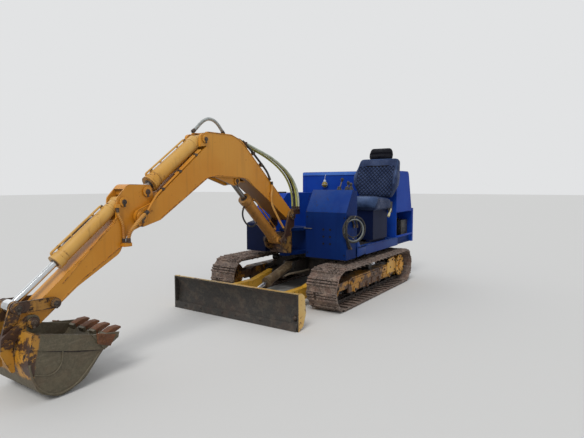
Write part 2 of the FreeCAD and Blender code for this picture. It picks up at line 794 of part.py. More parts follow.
def bar_corners(start, end, radius):
    """The corners of a bar with round ends between two places, seen from the side."""
    length = math.dist(start, end)
    ux = (end[0] - start[0]) / length * radius
    uz = (end[1] - start[1]) / length * radius
    round_end = radius * 0.999
    return [
        (start[0] - ux + uz, start[1] - uz - ux, round_end),
        (end[0] + ux + uz, end[1] + uz - ux, round_end),
        (end[0] + ux - uz, end[1] + uz + ux, round_end),
        (start[0] - ux - uz, start[1] - uz + ux, round_end),
    ]


def arm_corners():
    """The arm's side outline: heel, cylinder fork, back, nose, underside."""
    x, z = ARM_PIVOT
    eye_x, eye_z = ARM_CYLINDER_EYE
    pin_x, pin_z = BUCKET_PIN
    base_x, base_z = BUCKET_CYLINDER_BASE
    return [
        (x - 75, z - 45, 60),
        (eye_x - 58, eye_z - 40, 30),
        (eye_x - 40, eye_z + 50, 40),
        (base_x - 40, base_z + 118, 50),
        (base_x + 45, base_z + 30, 40),
        (base_x + 60, base_z - 130, 60),
        (LINK_PIVOT[0] + 48, LINK_PIVOT[1] + 42, 50),
        (pin_x + 44, pin_z + 18, 40),
        (pin_x + 30, pin_z - 44, 36),
        (pin_x - 50, pin_z - 22, 40),
        (2990, 562, 100),
        (2690, 728, 80),
        (x + 90, z - 105, 60),
    ]


def arm():
    """The dipper arm: a hollow box with the cylinders' forks at its back."""
    half = ARM_WIDTH / 2
    outer = side_plate(arm_corners(), -half, half)
    face = outline(arm_corners(), lambda p: vector(p.x, -half + BOOM_WALL, p.y))
    inner = face.makeOffset2D(-BOOM_WALL).extrude(vector(0, ARM_WIDTH - 2 * BOOM_WALL, 0))
    hollow = inner.common(block(2700, 3080, -half, half, 300, 1300))
    x, z = ARM_CYLINDER_EYE
    eye_room = block(x - 120, x + 108, -36 - SIDE_PLAY, 36 + SIDE_PLAY, z - 78, z + 120)
    barrel_side = ARM_WIDTH / 2 - 12
    barrel_room = side_plate(
        bar_corners(BUCKET_CYLINDER_BASE, LINK_EYE, BUCKET_BARREL_RADIUS + 10), -barrel_side, barrel_side
    )
    lid_room = side_plate(
        bar_corners(BUCKET_CYLINDER_BASE, along(BUCKET_CYLINDER_BASE, LINK_EYE, 300), BUCKET_BARREL_RADIUS + 10),
        -barrel_side, barrel_side,
    )
    lid_room.translate(vector(30, 0, 50))
    parts = [outer.cut(hollow).cut(eye_room).cut(barrel_room).cut(lid_room)]
    for edge in (-1, 1):
        parts.append(rod((x, edge * half, z), (x, edge * (half + 10), z), 26))
    parts.append(pin_y(BUCKET_CYLINDER_BASE, PIN_RADIUS, half + 8))
    parts.append(pin_y(LINK_PIVOT, PIN_RADIUS, half + 40))
    parts.append(block(2622, 2680, half - 20, half + 42, ARM_PORT_TOP - 24, ARM_PORT_TOP))
    parts.append(block(2690, 2720, half - 1, half + 24, ARM_BOSS_FOOT, ARM_BOSS_FOOT + 24))
    whole = fuse(*parts).cut(pin_y(ARM_PIVOT, PIN_RADIUS + 4 + PIN_PLAY, half + 1))
    return whole.cut(pin_y(BUCKET_PIN, PIN_RADIUS + PIN_PLAY, half + 1))


def tipping_link():
    """The pair of links from the arm to the bucket cylinder's rod."""
    parts = []
    inner = ARM_WIDTH / 2 + SIDE_PLAY
    outer = inner + 16
    for edge in (-1, 1):
        y0, y1 = sorted((edge * inner, edge * outer))
        plate = side_plate(bar_corners(LINK_PIVOT, LINK_EYE, 32), y0, y1)
        parts.append(plate.cut(pin_y(LINK_PIVOT, PIN_RADIUS + PIN_PLAY, outer + 1)))
        stub = sorted((edge * ROD_EYE_HALF, edge * (outer + 8)))
        parts.append(rod((LINK_EYE[0], stub[0], LINK_EYE[1]), (LINK_EYE[0], stub[1], LINK_EYE[1]), PIN_RADIUS))
    return Part.makeCompound([fuse(*parts[:2]), fuse(*parts[2:])])


def push_link():
    """The link from the tipping link to the bucket's ears."""
    inner = ROD_EYE_HALF + SIDE_PLAY
    outer = ARM_WIDTH / 2 - 2
    parts = []
    for edge in (-1, 1):
        y0, y1 = sorted((edge * inner, edge * outer))
        plate = side_plate(bar_corners(LINK_EYE, EAR_PIN, 32), y0, y1)
        parts.append(plate.cut(pin_y(LINK_EYE, PIN_RADIUS + PIN_PLAY, outer + 1)))
    parts.append(pin_y(EAR_PIN, 28, outer))
    return fuse(*parts)


def bucket_corners():
    """The bucket's side outline as it rests, its mouth upwards and its lip toward the machine."""
    return [
        (3342, 394, 0),
        (3376, 235, 110),
        (3325, 62, 90),
        (3205, 0, 110),
        (3060, 50, 120),
        (2868, 262, 0),
    ]


def bucket_shell():
    """The wrapped back and floor between two side plates, open at the mouth."""
    half = BUCKET_WIDTH / 2
    outer = side_plate(bucket_corners(), -half, half)
    face = outline(bucket_corners(), lambda p: vector(p.x, -half + BUCKET_WALL, p.y))
    inner = face.makeOffset2D(-BUCKET_WALL).extrude(vector(0, BUCKET_WIDTH - 2 * BUCKET_WALL, 0))
    back, lip = bucket_corners()[0], bucket_corners()[-1]
    mouth = [
        (lip[0] + 12, lip[1] - 14, 0),
        (lip[0] - 40, lip[1] + 120, 0),
        (back[0] - 40, back[1] + 120, 0),
        (back[0] - BUCKET_WALL, back[1] - 30, 0),
    ]
    open_shell = outer.cut(inner).cut(side_plate(mouth, -half + BUCKET_WALL, half - BUCKET_WALL))
    half_link = ARM_WIDTH / 2 + 1
    half_pocket = half_link + BUCKET_WALL
    x, z = EAR_PIN[0] - LINK_ROOM, EAR_PIN[1] - LINK_ROOM
    wall_top = back[1] - LINK_ROOM_STEP
    room = block(x, EAR_PIN[0], -half_link, half_link, z, back[1] + 1)
    pocket = block(x - BUCKET_WALL, EAR_PIN[0], -half_pocket, half_pocket, z - BUCKET_WALL, wall_top)
    return fuse(open_shell, outer.common(pocket)).cut(room)


def bucket_teeth():
    """The lip plate's four teeth, as wedges on shanks."""
    lip_x, lip_z = bucket_corners()[-1][:2]
    down_x, down_z = BUCKET_LIP_WAY
    teeth = []
    for y in BUCKET_TOOTH_YS:
        corners = [
            (lip_x - down_x * 40 - down_z * 9, lip_z - down_z * 40 + down_x * 9, 0),
            (lip_x + down_x * 78 - down_z * 2, lip_z + down_z * 78 + down_x * 2, 0),
            (lip_x + down_x * 78 + down_z * 6, lip_z + down_z * 78 - down_x * 6, 0),
            (lip_x + down_x * 30 + down_z * 22, lip_z + down_z * 30 - down_x * 22, 0),
            (lip_x - down_x * 40 + down_z * 18, lip_z - down_z * 40 - down_x * 18, 0),
        ]
        teeth.append(side_plate(corners, y - 26, y + 26))
    return teeth


def bucket():
    """The bucket with its side wear bands, side cutters, lip teeth and ears."""
    half = BUCKET_WIDTH / 2
    back, lip = bucket_corners()[0], bucket_corners()[-1]
    parts = [bucket_shell()] + bucket_teeth()
    inner_ear = ARM_WIDTH / 2 + SIDE_PLAY
    for edge in (-1, 1):
        y0, y1 = sorted((edge * half, edge * (half + 8)))
        band = [
            (back[0] - 6, back[1] - 4, 0),
            (lip[0] + 10, lip[1] - 2, 0),
            (lip[0] + 62, lip[1] - 74, 0),
            (back[0] - 200, back[1] - 150, 60),
            (back[0] + 20, back[1] - 82, 0),
        ]
        parts.append(side_plate(band, y0, y1))
        cutter = [
            (lip[0] + 150, lip[1] + 40, 0),
            (lip[0] - 34, lip[1] + 12, 0),
            (lip[0] - 26, lip[1] - 20, 0),
            (lip[0] + 70, lip[1] - 70, 20),
        ]
        y2, y3 = sorted((edge * (half + 8), edge * (half + 18)))
        parts.append(side_plate(cutter, y2, y3))
        y0, y1 = sorted((edge * inner_ear, edge * (inner_ear + EAR_THICKNESS)))
        ear = [
            (BUCKET_PIN[0] - 42, BUCKET_PIN[1] - 42, 40),
            (3340, 372, 0),
            (3380, 300, 0),
            (3372, 170, 0),
            (3392, 165, 12),
            (EAR_PIN[0] + 42, EAR_PIN[1] - 50, 38),
            (EAR_PIN[0] + 36, EAR_PIN[1] + 36, 34),
            (BUCKET_PIN[0] + 20, BUCKET_PIN[1] + 44, 40),
            (BUCKET_PIN[0] - 36, BUCKET_PIN[1] + 40, 36),
        ]
        parts.append(side_plate(ear, y0, y1))
        cap = edge * (inner_ear + EAR_THICKNESS)
        parts.append(rod((EAR_PIN[0], cap, EAR_PIN[1]), (EAR_PIN[0], cap + edge * 10, EAR_PIN[1]), 26))
    parts.append(pin_y(BUCKET_PIN, PIN_RADIUS, inner_ear + EAR_THICKNESS + 10))
    return fuse(*parts)


def boom_pipes():
    """Two steel pipes along the top of the front section, one going over the nose's left side."""
    long_pipe = pipe(
        [(1953, 76, 1449), (2386, 76, 1108), (2448, 102, 1058), (2492, 108, 1002)], PIPE_RADIUS
    )
    short_pipe = side_pipe([(1953, 1449), (2200, 1252.8)], 55, PIPE_RADIUS)
    return Part.makeCompound([long_pipe, short_pipe])


def boom_back_hose():
    """The hose clipped along the boom's back, over its left edge to the fitting on its side."""
    y = BOOM_WIDTH / 2 + HOSE_RADIUS + SEAT_GAP
    points = [
        (1420, 60, 1560), (1330, 66, 1500), (1240, 74, 1420), (1150, 82, 1345),
        (1098, 96, 1280), (1078, y + 1, 1222),
    ]
    return pipe(points, HOSE_RADIUS)


def boom_hoses():
    """The hoses that cross the boom's foot: four over its back, one down its left side."""
    solids = []
    for lift, y in BOOM_HOSES:
        points = [
            (1450, y, 1574 + lift / 2), (1280, y, 1527 + lift), (1143, y + 8, 1487 + lift),
            (1003, y + 25, 1440 + lift), (834, y + 48, 1350 + lift), (713, y + 62, 1255 + lift),
            (640, y + 72, 1150 + lift / 2), (612, y + 80, 1040), (612, y + 80, MANIFOLD_TOP + SEAT_GAP),
        ]
        solids.append(pipe(points, HOSE_RADIUS))
    y = BOOM_WIDTH / 2 + HOSE_RADIUS + SEAT_GAP
    side = [
        (1050, y, 1210), (1042, y, 1150), (1062, y, 1070), (1052, y + 1, 990),
        (985, y + 12, 885), (930, y + 24, 800), (880, y + 29, 740),
    ]
    solids.append(pipe(side, HOSE_RADIUS))
    return Part.makeCompound(solids)


def arch_hose():
    """The guarded hose that arches over the apex to the arm cylinder's top port."""
    points = [
        (1600, 0, 1609.5), (1650, 0, 1668), (1715, 0, 1712), (1790, 0, 1718),
        (1862, 0, 1680), (1925, 0, 1618), (1962, 0, 1594),
    ]
    return pipe(points, GUARD_RADIUS)


def arm_crossing_hose():
    """The guarded hose from the boom's nose to the port at the arm's underside."""
    port = ARM_PORT_TOP + SEAT_GAP
    points = [
        (2496, 110, 996), (2560, 120, 958), (2608, 114, 905), (2638, 86, 850), (2638, 86, port),
    ]
    return pipe(points, GUARD_RADIUS)


def arm_hose():
    """The hose up the arm's left side, from the port to the bucket cylinder's base."""
    route = [
        (2662, ARM_PORT_TOP + SEAT_GAP), (2662, 870), (2668, 930), (2704, 985), (2704, ARM_BOSS_FOOT - SEAT_GAP),
    ]
    return side_pipe(route, ARM_WIDTH / 2 + HOSE_RADIUS + 2 * SEAT_GAP, HOSE_RADIUS)


def bucket_cylinder_hose():
    """The hose on the bucket cylinder's far side, from its base to its front port."""
    skin = -BUCKET_BARREL_RADIUS - SEAT_GAP
    out = skin - HOSE_RADIUS - 18
    route = [
        (125, 0, skin), (125, 0, out), (200, 14, out), (320, 22, out), (420, 10, out),
        (480, 0, out), (480, 0, skin),
    ]
    return pipe(beside_barrel(BUCKET_CYLINDER_BASE, LINK_EYE, route), HOSE_RADIUS)


def boom_cylinder_hose():
    """The hose that loops under the boom cylinder, from its gland back to its barrel."""
    skin = -BOOM_BARREL_RADIUS - SEAT_GAP
    route = [
        (585, skin, 0), (585, skin - 38, 0), (545, skin - 88, 0), (470, skin - 105, 0),
        (395, skin - 88, 0), (350, skin - 42, 0), (350, skin, 0),
    ]
    return pipe(beside_barrel(BOOM_CYLINDER_BASE, BOOM_CYLINDER_EYE, route), HOSE_RADIUS - 2)


def blade_hose():
    """The hose from the centre frame to the blade cylinder."""
    points = [
        (CENTRE_LENGTH / 2 + SEAT_GAP, 84, 262), (520, 84, 262), (640, 78, 270),
        (750, 66, 270), (830, 66, 252),
    ]
    return pipe(points, HOSE_RADIUS)


def console_hoses():
    """The hoses that loop beside the console, each from its side down to the floor's edge."""
    y = LEFT_SIDE - CONSOLE_SET_IN + HOSE_RADIUS + SEAT_GAP
    solids = []
    for shift, step in ((0, 0), (24, 2 * HOSE_RADIUS + SEAT_GAP)):
        loop = [(600, 560), (652 + shift, 640), (690 + shift, 740), (660 + shift, 830 + step)]
        loop += [(590, 862 + step), (520 - shift, 830 + step), (500 - shift, 760)]
        solids.append(side_pipe(loop, y + step, HOSE_RADIUS))
    return Part.makeCompound(solids)


def king_lug(z0, z1, reach):
    """One of the two nose lugs that hold the king pin."""
    x = SWING_X
    corners = [
        (DECK_FRONT - reach, -190, 0),
        (x - 20, -62, 40),
        (x + 62, -62, 61.9),
        (x + 62, 62, 61.9),
        (x - 20, 62, 40),
        (DECK_FRONT - reach, 190, 0),
    ]
    return flat_plate(corners, z0, z1)


def deck():
    """The turntable frame: base plate, two long ribs, and the nose lugs with the king pin."""
    base = flat_plate(
        [
            (TAIL_FRONT, RIGHT_SIDE + 30, 0),
            (DECK_FRONT, RIGHT_SIDE + 30, 60),
            (DECK_FRONT, LEFT_SIDE - 30, 60),
            (TAIL_FRONT, LEFT_SIDE - 30, 0),
        ],
        DECK_BOTTOM, DECK_BOTTOM + 20,
    )
    parts = [base]
    for side in (-1, 1):
        y0, y1 = sorted((side * 150, side * 175))
        parts.append(block(TAIL_FRONT, DECK_FRONT + 20, y0, y1, DECK_BOTTOM, DECK_TOP))
    for y in (RIGHT_SIDE + 40, LEFT_SIDE - 60):
        parts.append(block(TAIL_FRONT, DECK_FRONT - 60, y, y + 20, DECK_BOTTOM, DECK_TOP))
    parts.append(king_lug(DECK_BOTTOM, 490, 200))
    parts.append(king_lug(706, 736, 60))
    parts.append(block(DECK_FRONT - 30, DECK_FRONT, -175, 175, DECK_BOTTOM, 736))
    parts.append(rod((SWING_X, 0, DECK_BOTTOM - 8), (SWING_X, 0, 752), KING_PIN_RADIUS))
    return fuse(*parts)


def floor_plate():
    """The operator's floor with its turned-down outer edge."""
    nose = DECK_FRONT - 30
    plate = flat_plate(
        [
            (HOOD_FRONT, TANK_LEFT, 0),
            (nose, TANK_LEFT, 0),
            (nose, 175, 0),
            (CONSOLE_BACK, 175, 0),
            (CONSOLE_BACK, LEFT_SIDE, 0),
            (HOOD_FRONT, LEFT_SIDE, 0),
        ],
        DECK_TOP, FLOOR_TOP,
    )
    skirt = block(
        HOOD_FRONT - 60, SKIRT_FRONT, LEFT_SIDE - SKIRT_THICKNESS, LEFT_SIDE, DECK_TOP - SKIRT_DROP, DECK_TOP
    )
    return fuse(plate, skirt)


def console_corners():
    """The console's side outline: straight front, sloped face, flat ridge."""
    return [
        (CONSOLE_FRONT, DECK_BOTTOM - 5, 0),
        (CONSOLE_FRONT, CONSOLE_KNEE, 0),
        (CONSOLE_RIDGE, CONSOLE_TOP, 12),
        (CONSOLE_BACK, CONSOLE_TOP - 12, 12),
        (CONSOLE_BACK, FLOOR_TOP, 0),
        (DECK_FRONT + 5, FLOOR_TOP, 0),
        (DECK_FRONT + 5, DECK_BOTTOM - 5, 0),
    ]


def console():
    """The instrument box in front of the driver, with the six holes low in its front."""
    body = side_plate(console_corners(), CONSOLE_RIGHT, LEFT_SIDE - CONSOLE_SET_IN)
    for y in CONSOLE_HOLE_YS:
        for z in CONSOLE_HOLE_ZS:
            hole = rod((CONSOLE_FRONT - 30, y, z), (CONSOLE_FRONT + 1, y, z), CONSOLE_HOLE_RADIUS)
            body = body.cut(hole)
    return body


def levers():
    """The hand levers on the console, each a bent rod in a boot with a round knob."""
    solids = []
    for x, y, lean, height in LEVERS:
        foot = CONSOLE_TOP - 8
        top = (x - 10, y + lean, foot + height)
        boot = Part.makeCone(24, 13, 40, vector(x, y, foot))
        stick = rod((x, y, foot), top, 6)
        knob = Part.makeSphere(15, vector(*top))
        solids.append(fuse(boot, stick, knob).cut(side_plate(console_corners(), CONSOLE_RIGHT, LEFT_SIDE)))
    return Part.makeCompound(solids)


def work_lamp():
    """The pear-shaped lamp that hangs by its strap on the wall behind the seat."""
    x = HOOD_FRONT + SEAT_GAP
    y = LAMP_Y
    bulb = Part.makeSphere(LAMP_RADIUS, vector(x + LAMP_RADIUS, y, LAMP_Z))
    neck = Part.makeCone(
        LAMP_RADIUS - 4, LAMP_RADIUS - 16, LAMP_RADIUS + 18, vector(x + LAMP_RADIUS, y, LAMP_Z + 8)
    )
    strap = block(x, x + 5, y - 9, y + 9, LAMP_Z, HOOD_TOP - 24)
    bridge = block(x, x + LAMP_RADIUS, y - 9, y + 9, LAMP_Z + 34, LAMP_Z + 44)
    return fuse(bulb, neck, strap, bridge)


def right_tank():
    """The low box in front and the tank behind it on the right."""
    low = side_plate(
        [
            (TANK_FRONT, DECK_BOTTOM, 0),
            (TANK_FRONT, 760, 30),
            (DECK_FRONT, 790, 0),
            (DECK_FRONT, DECK_BOTTOM, 0),
        ],
        RIGHT_SIDE + 40, TANK_LEFT,
    )
    tank = side_plate(
        [
            (DECK_FRONT, DECK_TOP, 0),
            (DECK_FRONT, 880, 40),
            (170, TANK_TOP, 60),
            (HOOD_FRONT + 12, TANK_TOP, 0),
            (HOOD_FRONT + 12, DECK_TOP, 0),
        ],
        RIGHT_SIDE, TANK_LEFT,
    )
    return low, tank


def hood_profile(inset=0):
    """The hood's side outline over the sill."""
    return [
        (HOOD_FRONT - inset, HOOD_SILL, 0),
        (HOOD_FRONT - inset, HOOD_TOP - inset, 20),
        (HOOD_CREST + inset / 2, HOOD_TOP - inset, 60),
        (HOOD_REAR + inset, HOOD_SILL, 0),
    ]


def slope_place(down, out):
    """A side-view place on the hood's rear slope, down from the hinge line and out from the face."""
    run, drop = HOOD_REAR - HOOD_CREST, HOOD_SILL - HOOD_TOP
    length = math.hypot(run, drop)
    along_x, along_z = run / length, drop / length
    return (
        DOOR_HINGE[0] + along_x * down + along_z * out,
        DOOR_HINGE[1] + along_z * down - along_x * out,
    )


def hinge_part(y0, y1, direction, bore):
    """A hinge's sleeve on its pin line, with the leaf that is fixed to the slope."""
    pin_x, pin_z = slope_place(0, HINGE_RISE)
    sleeve = rod((pin_x, y0, pin_z), (pin_x, y1, pin_z), HINGE_RADIUS)
    places = [
        slope_place(direction * 5, 0),
        slope_place(direction * 40, 0),
        slope_place(direction * 40, 4),
        slope_place(direction * 5, 4),
    ]
    leaf = side_plate([(x, z, 0) for x, z in places], y0, y1)
    whole = fuse(sleeve, leaf)
    if bore:
        whole = whole.cut(rod((pin_x, y0, pin_z), (pin_x, y1, pin_z), HINGE_PIN + PIN_PLAY))
    return whole


def hood_shell():
    """The engine cover before its rear door is cut: top, rear slope, two sides and front."""
    outer = side_plate(hood_profile(), RIGHT_SIDE, LEFT_SIDE)
    room = side_plate(hood_profile(HOOD_WALL), RIGHT_SIDE + HOOD_WALL, LEFT_SIDE - HOOD_WALL)
    sink = room.copy()
    sink.translate(vector(0, 0, -20))
    return outer.cut(room).cut(sink)


def door_room(gap):
    """The space that the rear door takes in the hood's slope, with a gap all round."""
    return block(
        HOOD_REAR - 20, DOOR_HINGE[0] + 40, RIGHT_SIDE + DOOR_MARGIN - gap, LEFT_SIDE - DOOR_MARGIN + gap,
        DOOR_FOOT - gap, DOOR_TOP + gap,
    )


def hood():
    """The engine cover with the wall behind the seat and the right side wall."""
    wall = block(HOOD_FRONT - HOOD_WALL, HOOD_FRONT, RIGHT_SIDE, LEFT_SIDE, DECK_TOP, HOOD_SILL)
    right = block(TAIL_FRONT, HOOD_FRONT, RIGHT_SIDE, RIGHT_SIDE + HOOD_WALL, DECK_TOP, HOOD_SILL)
    hinges = []
    pin_x, pin_z = slope_place(0, HINGE_RISE)
    for y in HINGE_YS:
        hinges.append(hinge_part(y - 45, y - 15, -1, False))
        hinges.append(hinge_part(y + 15, y + 45, -1, False))
        hinges.append(rod((pin_x, y - 45, pin_z), (pin_x, y + 45, pin_z), HINGE_PIN))
    return fuse(hood_shell().cut(door_room(DOOR_GAP)), wall, right, *hinges)


def rear_door():
    """The lid in the hood's rear slope, hung at its top edge."""
    hinges = [hinge_part(y - 15 + SEAT_GAP, y + 15 - SEAT_GAP, 1, True) for y in HINGE_YS]
    return fuse(hood_shell().common(door_room(0)), *hinges)


def counterweight():
    """The tail casting: straight sides and a gently rounded rear."""
    middle = (LEFT_SIDE + RIGHT_SIDE) / 2
    corners = [
        (TAIL_FRONT, RIGHT_SIDE, 0),
        (TAIL_FRONT, LEFT_SIDE, 0),
        (TAIL_CORNER, LEFT_SIDE, TAIL_ROUND),
        (TAIL_REAR, middle, TAIL_BOW),
        (TAIL_CORNER, RIGHT_SIDE, TAIL_ROUND),
    ]
    block_shape = flat_plate(corners, DECK_BOTTOM, TAIL_TOP)
    step = flat_plate(
        [
            (TAIL_FRONT, RIGHT_SIDE + 90, 0),
            (TAIL_FRONT, LEFT_SIDE - 90, 0),
            (TAIL_REAR + 90, LEFT_SIDE - 90, 0),
            (TAIL_REAR + 90, RIGHT_SIDE + 90, 0),
        ],
        TAIL_TOP - 1, TAIL_TOP,
    )
    return block_shape.cut(step)


def engine():
    return block(-1040, -700, -300, 330, DECK_TOP, 1000)


def seat_base():
    """The box under the cushion, with the two runners on the floor."""
    box_shape = block(SEAT_X - 190, SEAT_X + 200, SEAT_Y - 190, SEAT_Y + 190, FLOOR_TOP + 30, CUSHION_FOOT)
    runners = [
        block(SEAT_X - 215, SEAT_X + 215, SEAT_Y + y - 20, SEAT_Y + y + 20, FLOOR_TOP, FLOOR_TOP + 30)
        for y in (-SEAT_RUNNER_Y, SEAT_RUNNER_Y)
    ]
    brackets = []
    for y in (-SEAT_RUNNER_Y, SEAT_RUNNER_Y):
        y0, y1 = SEAT_Y + y - 6, SEAT_Y + y + 6
        low = CUSHION_FOOT - 60
        brackets.append(block(SEAT_X - 300, SEAT_X - 189, y0, y1, low, CUSHION_FOOT - SEAT_GAP))
        brackets.append(block(SEAT_X - 300, SEAT_X - 232, y0, y1, low, BACK_FOOT - 25))
        top = BACK_FOOT + BACK_RISE - SEAT_GAP
        brackets.append(leaned(block(SEAT_X - 300, SEAT_X - 255, y0, y1, BACK_FOOT - 45, top)))
    return fuse(box_shape, *runners, *brackets)


def seat_cushion():
    """The seat cushion, its front edge raised and rounded."""
    corners = [
        (SEAT_X - 225, CUSHION_FOOT, 20),
        (SEAT_X + 262, CUSHION_FOOT, 50),
        (SEAT_X + 280, CUSHION_TOP - 5, 60),
        (SEAT_X + 120, CUSHION_TOP - 8, 200),
        (SEAT_X - 225, CUSHION_TOP - 40, 20),
    ]
    return side_plate(corners, SEAT_Y - 250, SEAT_Y + 250)


def leaned(shape):
    """A piece of the seat, turned back about the line where cushion and back meet."""
    turned = shape.copy()
    turned.rotate(vector(SEAT_X - 225, SEAT_Y, BACK_FOOT), vector(0, 1, 0), -SEAT_LEAN)
    return turned


def seat_back():
    """The backrest, widest at its bolsters, leaning back."""
    corners = [
        (SEAT_Y - 200, BACK_FOOT + BACK_RISE, 60),
        (SEAT_Y + 200, BACK_FOOT + BACK_RISE, 60),
        (SEAT_Y + 290, BACK_FOOT + 240, 120),
        (SEAT_Y + 238, BACK_FOOT + 500, 70),
        (SEAT_Y - 238, BACK_FOOT + 500, 70),
        (SEAT_Y - 290, BACK_FOOT + 240, 120),
    ]
    return leaned(front_plate(corners, SEAT_X - 320, SEAT_X - 225))


def headrest():
    """The headrest, just over the backrest."""
    low = BACK_FOOT + 500 + SEAT_GAP
    corners = [
        (SEAT_Y - 135, low, 30),
        (SEAT_Y + 135, low, 30),
        (SEAT_Y + 122, low + 128, 50),
        (SEAT_Y - 122, low + 128, 50),
    ]
    return leaned(front_plate(corners, SEAT_X - 315, SEAT_X - 240))


def main():
    os.makedirs("parts", exist_ok=True)
    pieces = {}
    for side, word in ((1, "left"), (-1, "right")):
        pieces[f"track_{word}"] = track(side)
        pieces[f"track_frame_{word}"] = track_frame(side)
    pieces["idlers"] = Part.makeCompound([idler(side) for side in (1, -1)])
    pieces["sprockets"] = Part.makeCompound([sprocket(side) for side in (1, -1)])
    pieces["drive_motors"] = Part.makeCompound([drive_motor(side) for side in (1, -1)])
    wheels = [wheel for side in (1, -1) for wheel in rollers(side) + [carrier_roller(side)]]
    pieces["rollers"] = Part.makeCompound(wheels)
    pieces["centre_frame"] = centre_frame()
    pieces["slew_ring"] = slew_ring()
    pieces["blade_board"] = blade_board()
    pieces["blade_edge"] = blade_edge()
    pieces["blade_arms"] = blade_arms()
    blade_eye = (BLADE_LUG_X, BLADE_LUG_Z)
    pieces["blade_cylinder"] = barrel(
        BLADE_BASE, blade_eye, BLADE_BARREL_RADIUS, 17, 430, BLADE_BARREL_RADIUS + 1
    )
    pieces["blade_rod"] = cylinder_rod(BLADE_BASE, blade_eye, 17, 200, BLADE_LUG_HALF)
    pieces["swing_post"] = swing_post()
    pieces["boom"] = boom()
    boom_barrel = barrel(BOOM_CYLINDER_BASE, BOOM_CYLINDER_EYE, BOOM_BARREL_RADIUS, 22, 640, 60)
    boom_feed = barrel_pipe(BOOM_CYLINDER_BASE, BOOM_CYLINDER_EYE, BOOM_BARREL_RADIUS, 30, 110, 560)
    pieces["boom_cylinder"] = fuse(boom_barrel, boom_feed)
    pieces["boom_rod"] = cylinder_rod(BOOM_CYLINDER_BASE, BOOM_CYLINDER_EYE, 22, 330, 38)
    arm_barrel = barrel(ARM_CYLINDER_BASE, ARM_CYLINDER_EYE, ARM_BARREL_RADIUS, 23, 590, 50)
    arm_feed = barrel_pipe(ARM_CYLINDER_BASE, ARM_CYLINDER_EYE, ARM_BARREL_RADIUS, -10, 110, 565)
    pieces["arm_cylinder"] = fuse(arm_barrel, arm_feed)
    pieces["arm_rod"] = cylinder_rod(ARM_CYLINDER_BASE, ARM_CYLINDER_EYE, 23, 130, 36)
    pieces["boom_pipes"] = boom_pipes()
    pieces["boom_back_hose"] = boom_back_hose()
    pieces["boom_hoses"] = boom_hoses()
    pieces["arch_hose"] = arch_hose()
    pieces["arm_crossing_hose"] = arm_crossing_hose()
    pieces["arm_hose"] = arm_hose()
    pieces["bucket_cylinder_hose"] = bucket_cylinder_hose()
    pieces["boom_cylinder_hose"] = boom_cylinder_hose()
    pieces["blade_hose"] = blade_hose()
    pieces["console_hoses"] = console_hoses()
    pieces["levers"] = levers()
    pieces["work_lamp"] = work_lamp()
    pieces["arm"] = arm()
    bucket_barrel = barrel(BUCKET_CYLINDER_BASE, LINK_EYE, BUCKET_BARREL_RADIUS, 20, 560, 44, 45)
    bucket_feed = barrel_pipe(BUCKET_CYLINDER_BASE, LINK_EYE, BUCKET_BARREL_RADIUS, -8, 110, 540)
    pieces["bucket_cylinder"] = fuse(bucket_barrel, bucket_feed)
    pieces["bucket_rod"] = cylinder_rod(BUCKET_CYLINDER_BASE, LINK_EYE, 20, 350, 36)
    pieces["tipping_link"] = tipping_link()
    pieces["push_link"] = push_link()
    pieces["bucket"] = bucket()
    pieces["deck"] = deck()
    pieces["floor_plate"] = floor_plate()
    pieces["console"] = console()
    pieces["front_box"], pieces["side_tank"] = right_tank()
    pieces["hood"] = hood()
    pieces["rear_door"] = rear_door()
    pieces["counterweight"] = counterweight()
    pieces["engine"] = engine()
    pieces["seat_base"] = seat_base()
    pieces["seat_cushion"] = seat_cushion()
    pieces["seat_back"] = seat_back()
    pieces["headrest"] = headrest()
    for name, shape in pieces.items():
        shape.translate(vector(-MIDDLE_X, 0, 0))
        shape.exportStep(f"parts/{name}.step")


main()
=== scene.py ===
import logging
import math
import random
from dataclasses import dataclass
from enum import Enum
from typing import Callable, Sequence

import bmesh
import bpy
from mathutils import Matrix, Vector, noise
from mathutils.bvhtree import BVHTree


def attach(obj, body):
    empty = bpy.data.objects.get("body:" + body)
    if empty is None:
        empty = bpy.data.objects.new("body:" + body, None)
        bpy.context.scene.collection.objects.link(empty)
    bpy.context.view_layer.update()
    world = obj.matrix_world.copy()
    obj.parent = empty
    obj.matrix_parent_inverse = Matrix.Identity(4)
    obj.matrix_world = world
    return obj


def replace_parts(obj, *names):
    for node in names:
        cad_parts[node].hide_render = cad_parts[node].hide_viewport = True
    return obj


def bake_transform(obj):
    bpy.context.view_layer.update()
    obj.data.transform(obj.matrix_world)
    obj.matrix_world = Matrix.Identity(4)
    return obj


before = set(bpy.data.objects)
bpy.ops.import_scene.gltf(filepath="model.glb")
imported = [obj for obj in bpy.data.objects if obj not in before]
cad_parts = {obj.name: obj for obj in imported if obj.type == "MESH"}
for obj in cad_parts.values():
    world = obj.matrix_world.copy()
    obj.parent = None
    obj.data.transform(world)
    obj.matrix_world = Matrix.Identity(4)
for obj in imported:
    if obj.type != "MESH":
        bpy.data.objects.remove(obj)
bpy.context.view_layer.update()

# Looks of a mini excavator on steel tracks. Places are the drawing's millimetres, counted from the
# slew axis at ground level, and at() turns them into metres in the shared frame.

MIDDLE_X = 1050.0
SCALE = 0.001
LOG = logging.getLogger("mini_excavator")

Colour = tuple[float, float, float, float]
Place = tuple[float, float, float]


